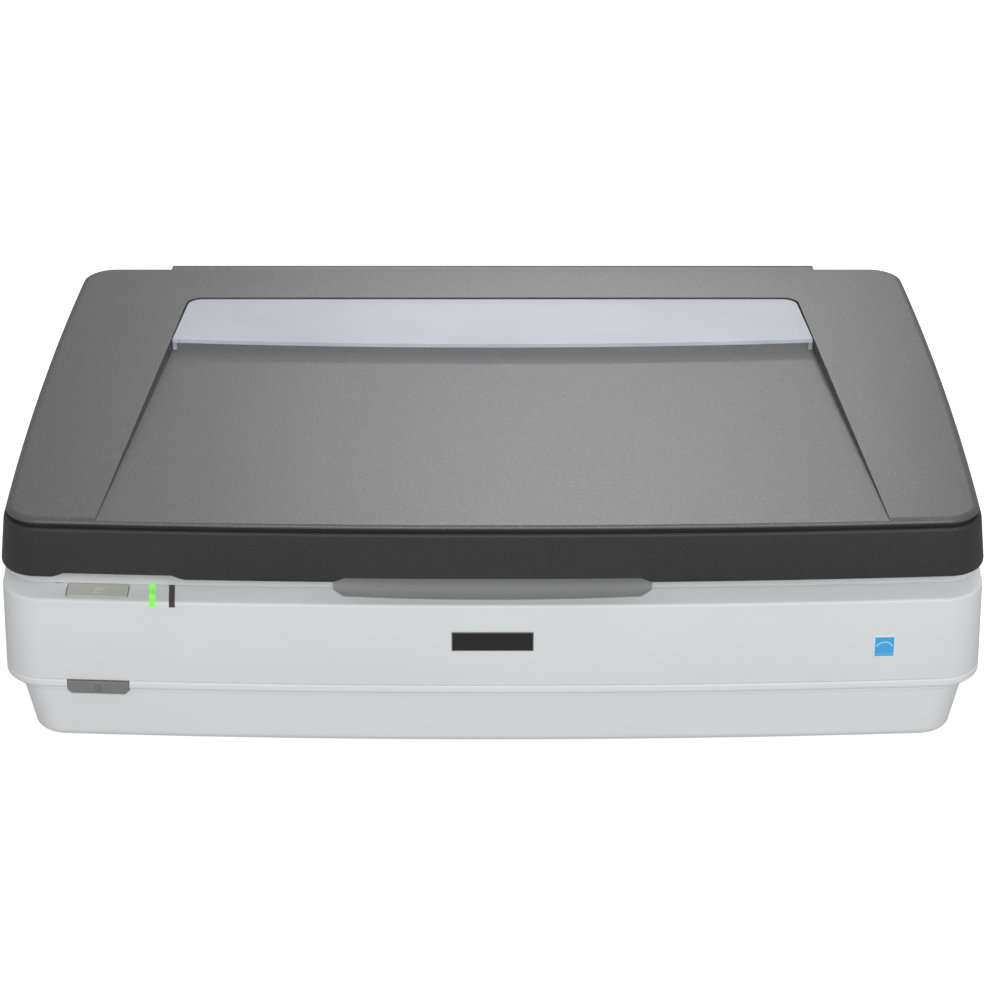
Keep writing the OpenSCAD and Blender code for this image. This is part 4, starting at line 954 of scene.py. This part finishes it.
def lid_skirt():
    """The lid's textured skirt: a rolled lower lip, leaning walls, and a groove under the panel."""
    lip = [LID_Z, LID_IN + 1.8, 1.8, 1.8, LID_R - 1.8]
    wall = [LID_Z + 3.4 * MM, LID_IN, 0, 0, LID_R]
    shoulder = [LID_Z + 31.8 * MM, LID_IN + 3, 3.3, -1, LID_R - 1]
    crest = [PANEL_Z - 1.9 * MM, LID_IN + 4.8, 5.2, 0, LID_R - 2.2]
    groove = [PANEL_Z - 1.9 * MM, LID_IN + 7.2, 8, 2.4, LID_R - 5]
    top = [PANEL_Z, LID_IN + 7.3, 8.1, 2.5, LID_R - 5]
    levels = [lip] + eased(lip, wall, 6, True) + [wall, shoulder] + eased(shoulder, crest, 5)
    body = loft("lid_skirt_shell", levels + [crest, groove, top])
    cut(body, loft("hollow", [
        [LID_Z - 1 * MM, LID_IN + 3.6, 3.6, 3.6, LID_R - 4],
        [LID_Z + 31.5 * MM, LID_IN + 6.2, 6.6, 3.6, LID_R - 4],
        [LID_Z + 32.5 * MM, LID_IN + 9.4, 10.2, 5.4, LID_R - 7],
        [PANEL_Z + 1 * MM, LID_IN + 9.4, 10.2, 5.4, LID_R - 7],
    ]))
    join(body, bump("hump", [
        (MAIN_REAR - 3 * MM, LID_Z), (REAR - 1 * MM, LID_Z), (REAR, LID_Z + 1.5 * MM),
        (REAR - 0.8 * MM, LID_Z + 29.5 * MM), (REAR - 3.4 * MM, LID_Z + 31.2 * MM),
        (REAR - 14.5 * MM, PANEL_Z), (MAIN_REAR - 3 * MM, PANEL_Z),
    ], HOUSING_HALF))
    cut(body, bump("hump_hollow", [
        (MAIN_REAR + 3 * MM, LID_Z - 1 * MM), (REAR - 3.2 * MM, LID_Z - 1 * MM),
        (REAR - 3.6 * MM, LID_Z + 28.5 * MM), (REAR - 15.5 * MM, PANEL_Z - 3 * MM),
        (MAIN_REAR + 3 * MM, PANEL_Z - 3 * MM),
    ], HOUSING_HALF - 4 * MM))
    for side in (-1, 1):
        x = side * HINGE_X
        cut(body, box("hinge_gap", (x - HINGE_GAP_HALF, x + HINGE_GAP_HALF),
                      (HINGE_Y - 10.4 * MM, REAR + 2 * MM), (LID_Z - 1 * MM, LID_Z + 32 * MM)))
    for low, high in NOTCHES:
        join(body, notch_roof(low, high))
        cut(body, edge_notch(low, high))
    return finish_piece(body, SKIRT, "lid", ["lid_skirt"], 0.6 * MM)


def pocket_plate():
    """The clear plate over the back of the pocket, bowed at its front edge, on four feet, with two hooks."""
    margin, bow, steps = 1.6 * MM, 9 * MM, 40
    foot_half, foot_d, hook_half = 4 * MM, 2 * MM, 1.4 * MM
    side = pocket_half(PLATE_FRONT) - margin
    front = [(side * i / steps, PLATE_FRONT + bow * (i / steps) ** 2) for i in range(-steps, steps + 1)]
    points = front + pocket_outline(margin, PLATE_FRONT + bow, POCKET_REAR - margin)[2:]
    body = prism("pocket_plate_sheet", points, PLATE_Z, PLATE_Z + PLATE_T)
    for s in (-1, 1):
        spots = [(s * (side - 8 * MM), PLATE_FRONT + 40 * MM), (s * side * 0.5, POCKET_REAR - 8 * MM)]
        for x, y in spots:
            join(body, box("foot", (x - foot_half, x + foot_half), (y - foot_d, y + foot_d),
                           (ramp_at(y) + 0.1 * MM, PLATE_Z + 0.5 * MM)))
        x, y = s * (side - 1.6 * MM), PLATE_FRONT + bow - 1.2 * MM
        join(body, box("hook", (x - hook_half, x + hook_half), (y, y + 2.4 * MM),
                       (PLATE_Z - 5 * MM, PLATE_Z + 1 * MM)))
    body.visible_shadow = False
    return finish_piece(body, PLATE, "lid", ["pocket_plate"], 0.7 * MM)


# ---------- camera, floor and light ----------

def camera():
    """The view of the photograph: from the front, looking down at the lid."""
    pitch = math.radians(26.91)
    middle = Vector((0, FRONT + 206.3 * MM, TOP / 2))
    away = 2.202
    eye = bpy.data.objects.new("camera", bpy.data.cameras.new("camera"))
    bpy.context.scene.collection.objects.link(eye)
    eye.location = middle + away * Vector((0, -math.cos(pitch), math.sin(pitch)))
    eye.rotation_euler = (math.pi / 2 - pitch, 0, 0)
    eye.data.lens = 110.8
    eye.data.sensor_width = 36
    eye.data.shift_x = 0.0074
    eye.data.clip_start = 0.05
    eye.data.clip_end = 60
    bpy.context.scene.camera = eye


def soft_light(name, spot, aim, size, power):
    """A rectangular lamp of power watts at spot, turned to aim."""
    lamp = bpy.data.lights.new(name, "AREA")
    lamp.shape = "RECTANGLE"
    lamp.size, lamp.size_y = size
    lamp.energy = power
    thing = bpy.data.objects.new(name, lamp)
    bpy.context.scene.collection.objects.link(thing)
    thing.location = spot
    thing.rotation_euler = (Vector(aim) - Vector(spot)).to_track_quat("-Z", "Y").to_euler()


def studio():
    """Plain pale floor, pale surroundings and large soft lights."""
    bpy.ops.mesh.primitive_plane_add(size=40)
    floor = bpy.context.object
    floor.name = "floor"
    paint = Paint("floor_paint", 0.9, specular=0.1)
    paint.colour(paint.noise(400 * MM, 2), [(0.3, grey(250)), (0.7, grey(252))])
    paint.surface.inputs["Emission Color"].default_value = (1, 1, 1, 1)
    paint.surface.inputs["Emission Strength"].default_value = FLOOR_GLOW
    floor.data.materials.append(paint.material)
    floor.visible_diffuse = False
    floor.visible_glossy = False
    world = bpy.data.worlds.new("surroundings")
    bpy.context.scene.world = world
    world.use_nodes = True
    world.node_tree.nodes["Background"].inputs["Color"].default_value = (1, 1, 1, 1)
    world.node_tree.nodes["Background"].inputs["Strength"].default_value = SURROUNDINGS_GLOW
    soft_light("key", (0.3, -2.6, 1.7), (0, 0, 0.1), (2.4, 0.8), 45)
    soft_light("over", (0.4, 0.1, 2.6), (0.1, 0, 0), (2.4, 1.8), 12)
    soft_light("rear", (0.14, 2.4, 1.66), (0.05, -0.08, 0.16), (0.9, 0.5), 17)
    bpy.context.scene.view_settings.view_transform = "Standard"


camera()
dress_frame()
lower_case()
upper_case()
grip_insert()
lid_skirt()
lid_top_panel()
pocket_plate()
start_button()
power_button()
indicator("status_light", STATUS_X, GREEN)
indicator("error_light", ERROR_X, DARK)
badges()
studio()
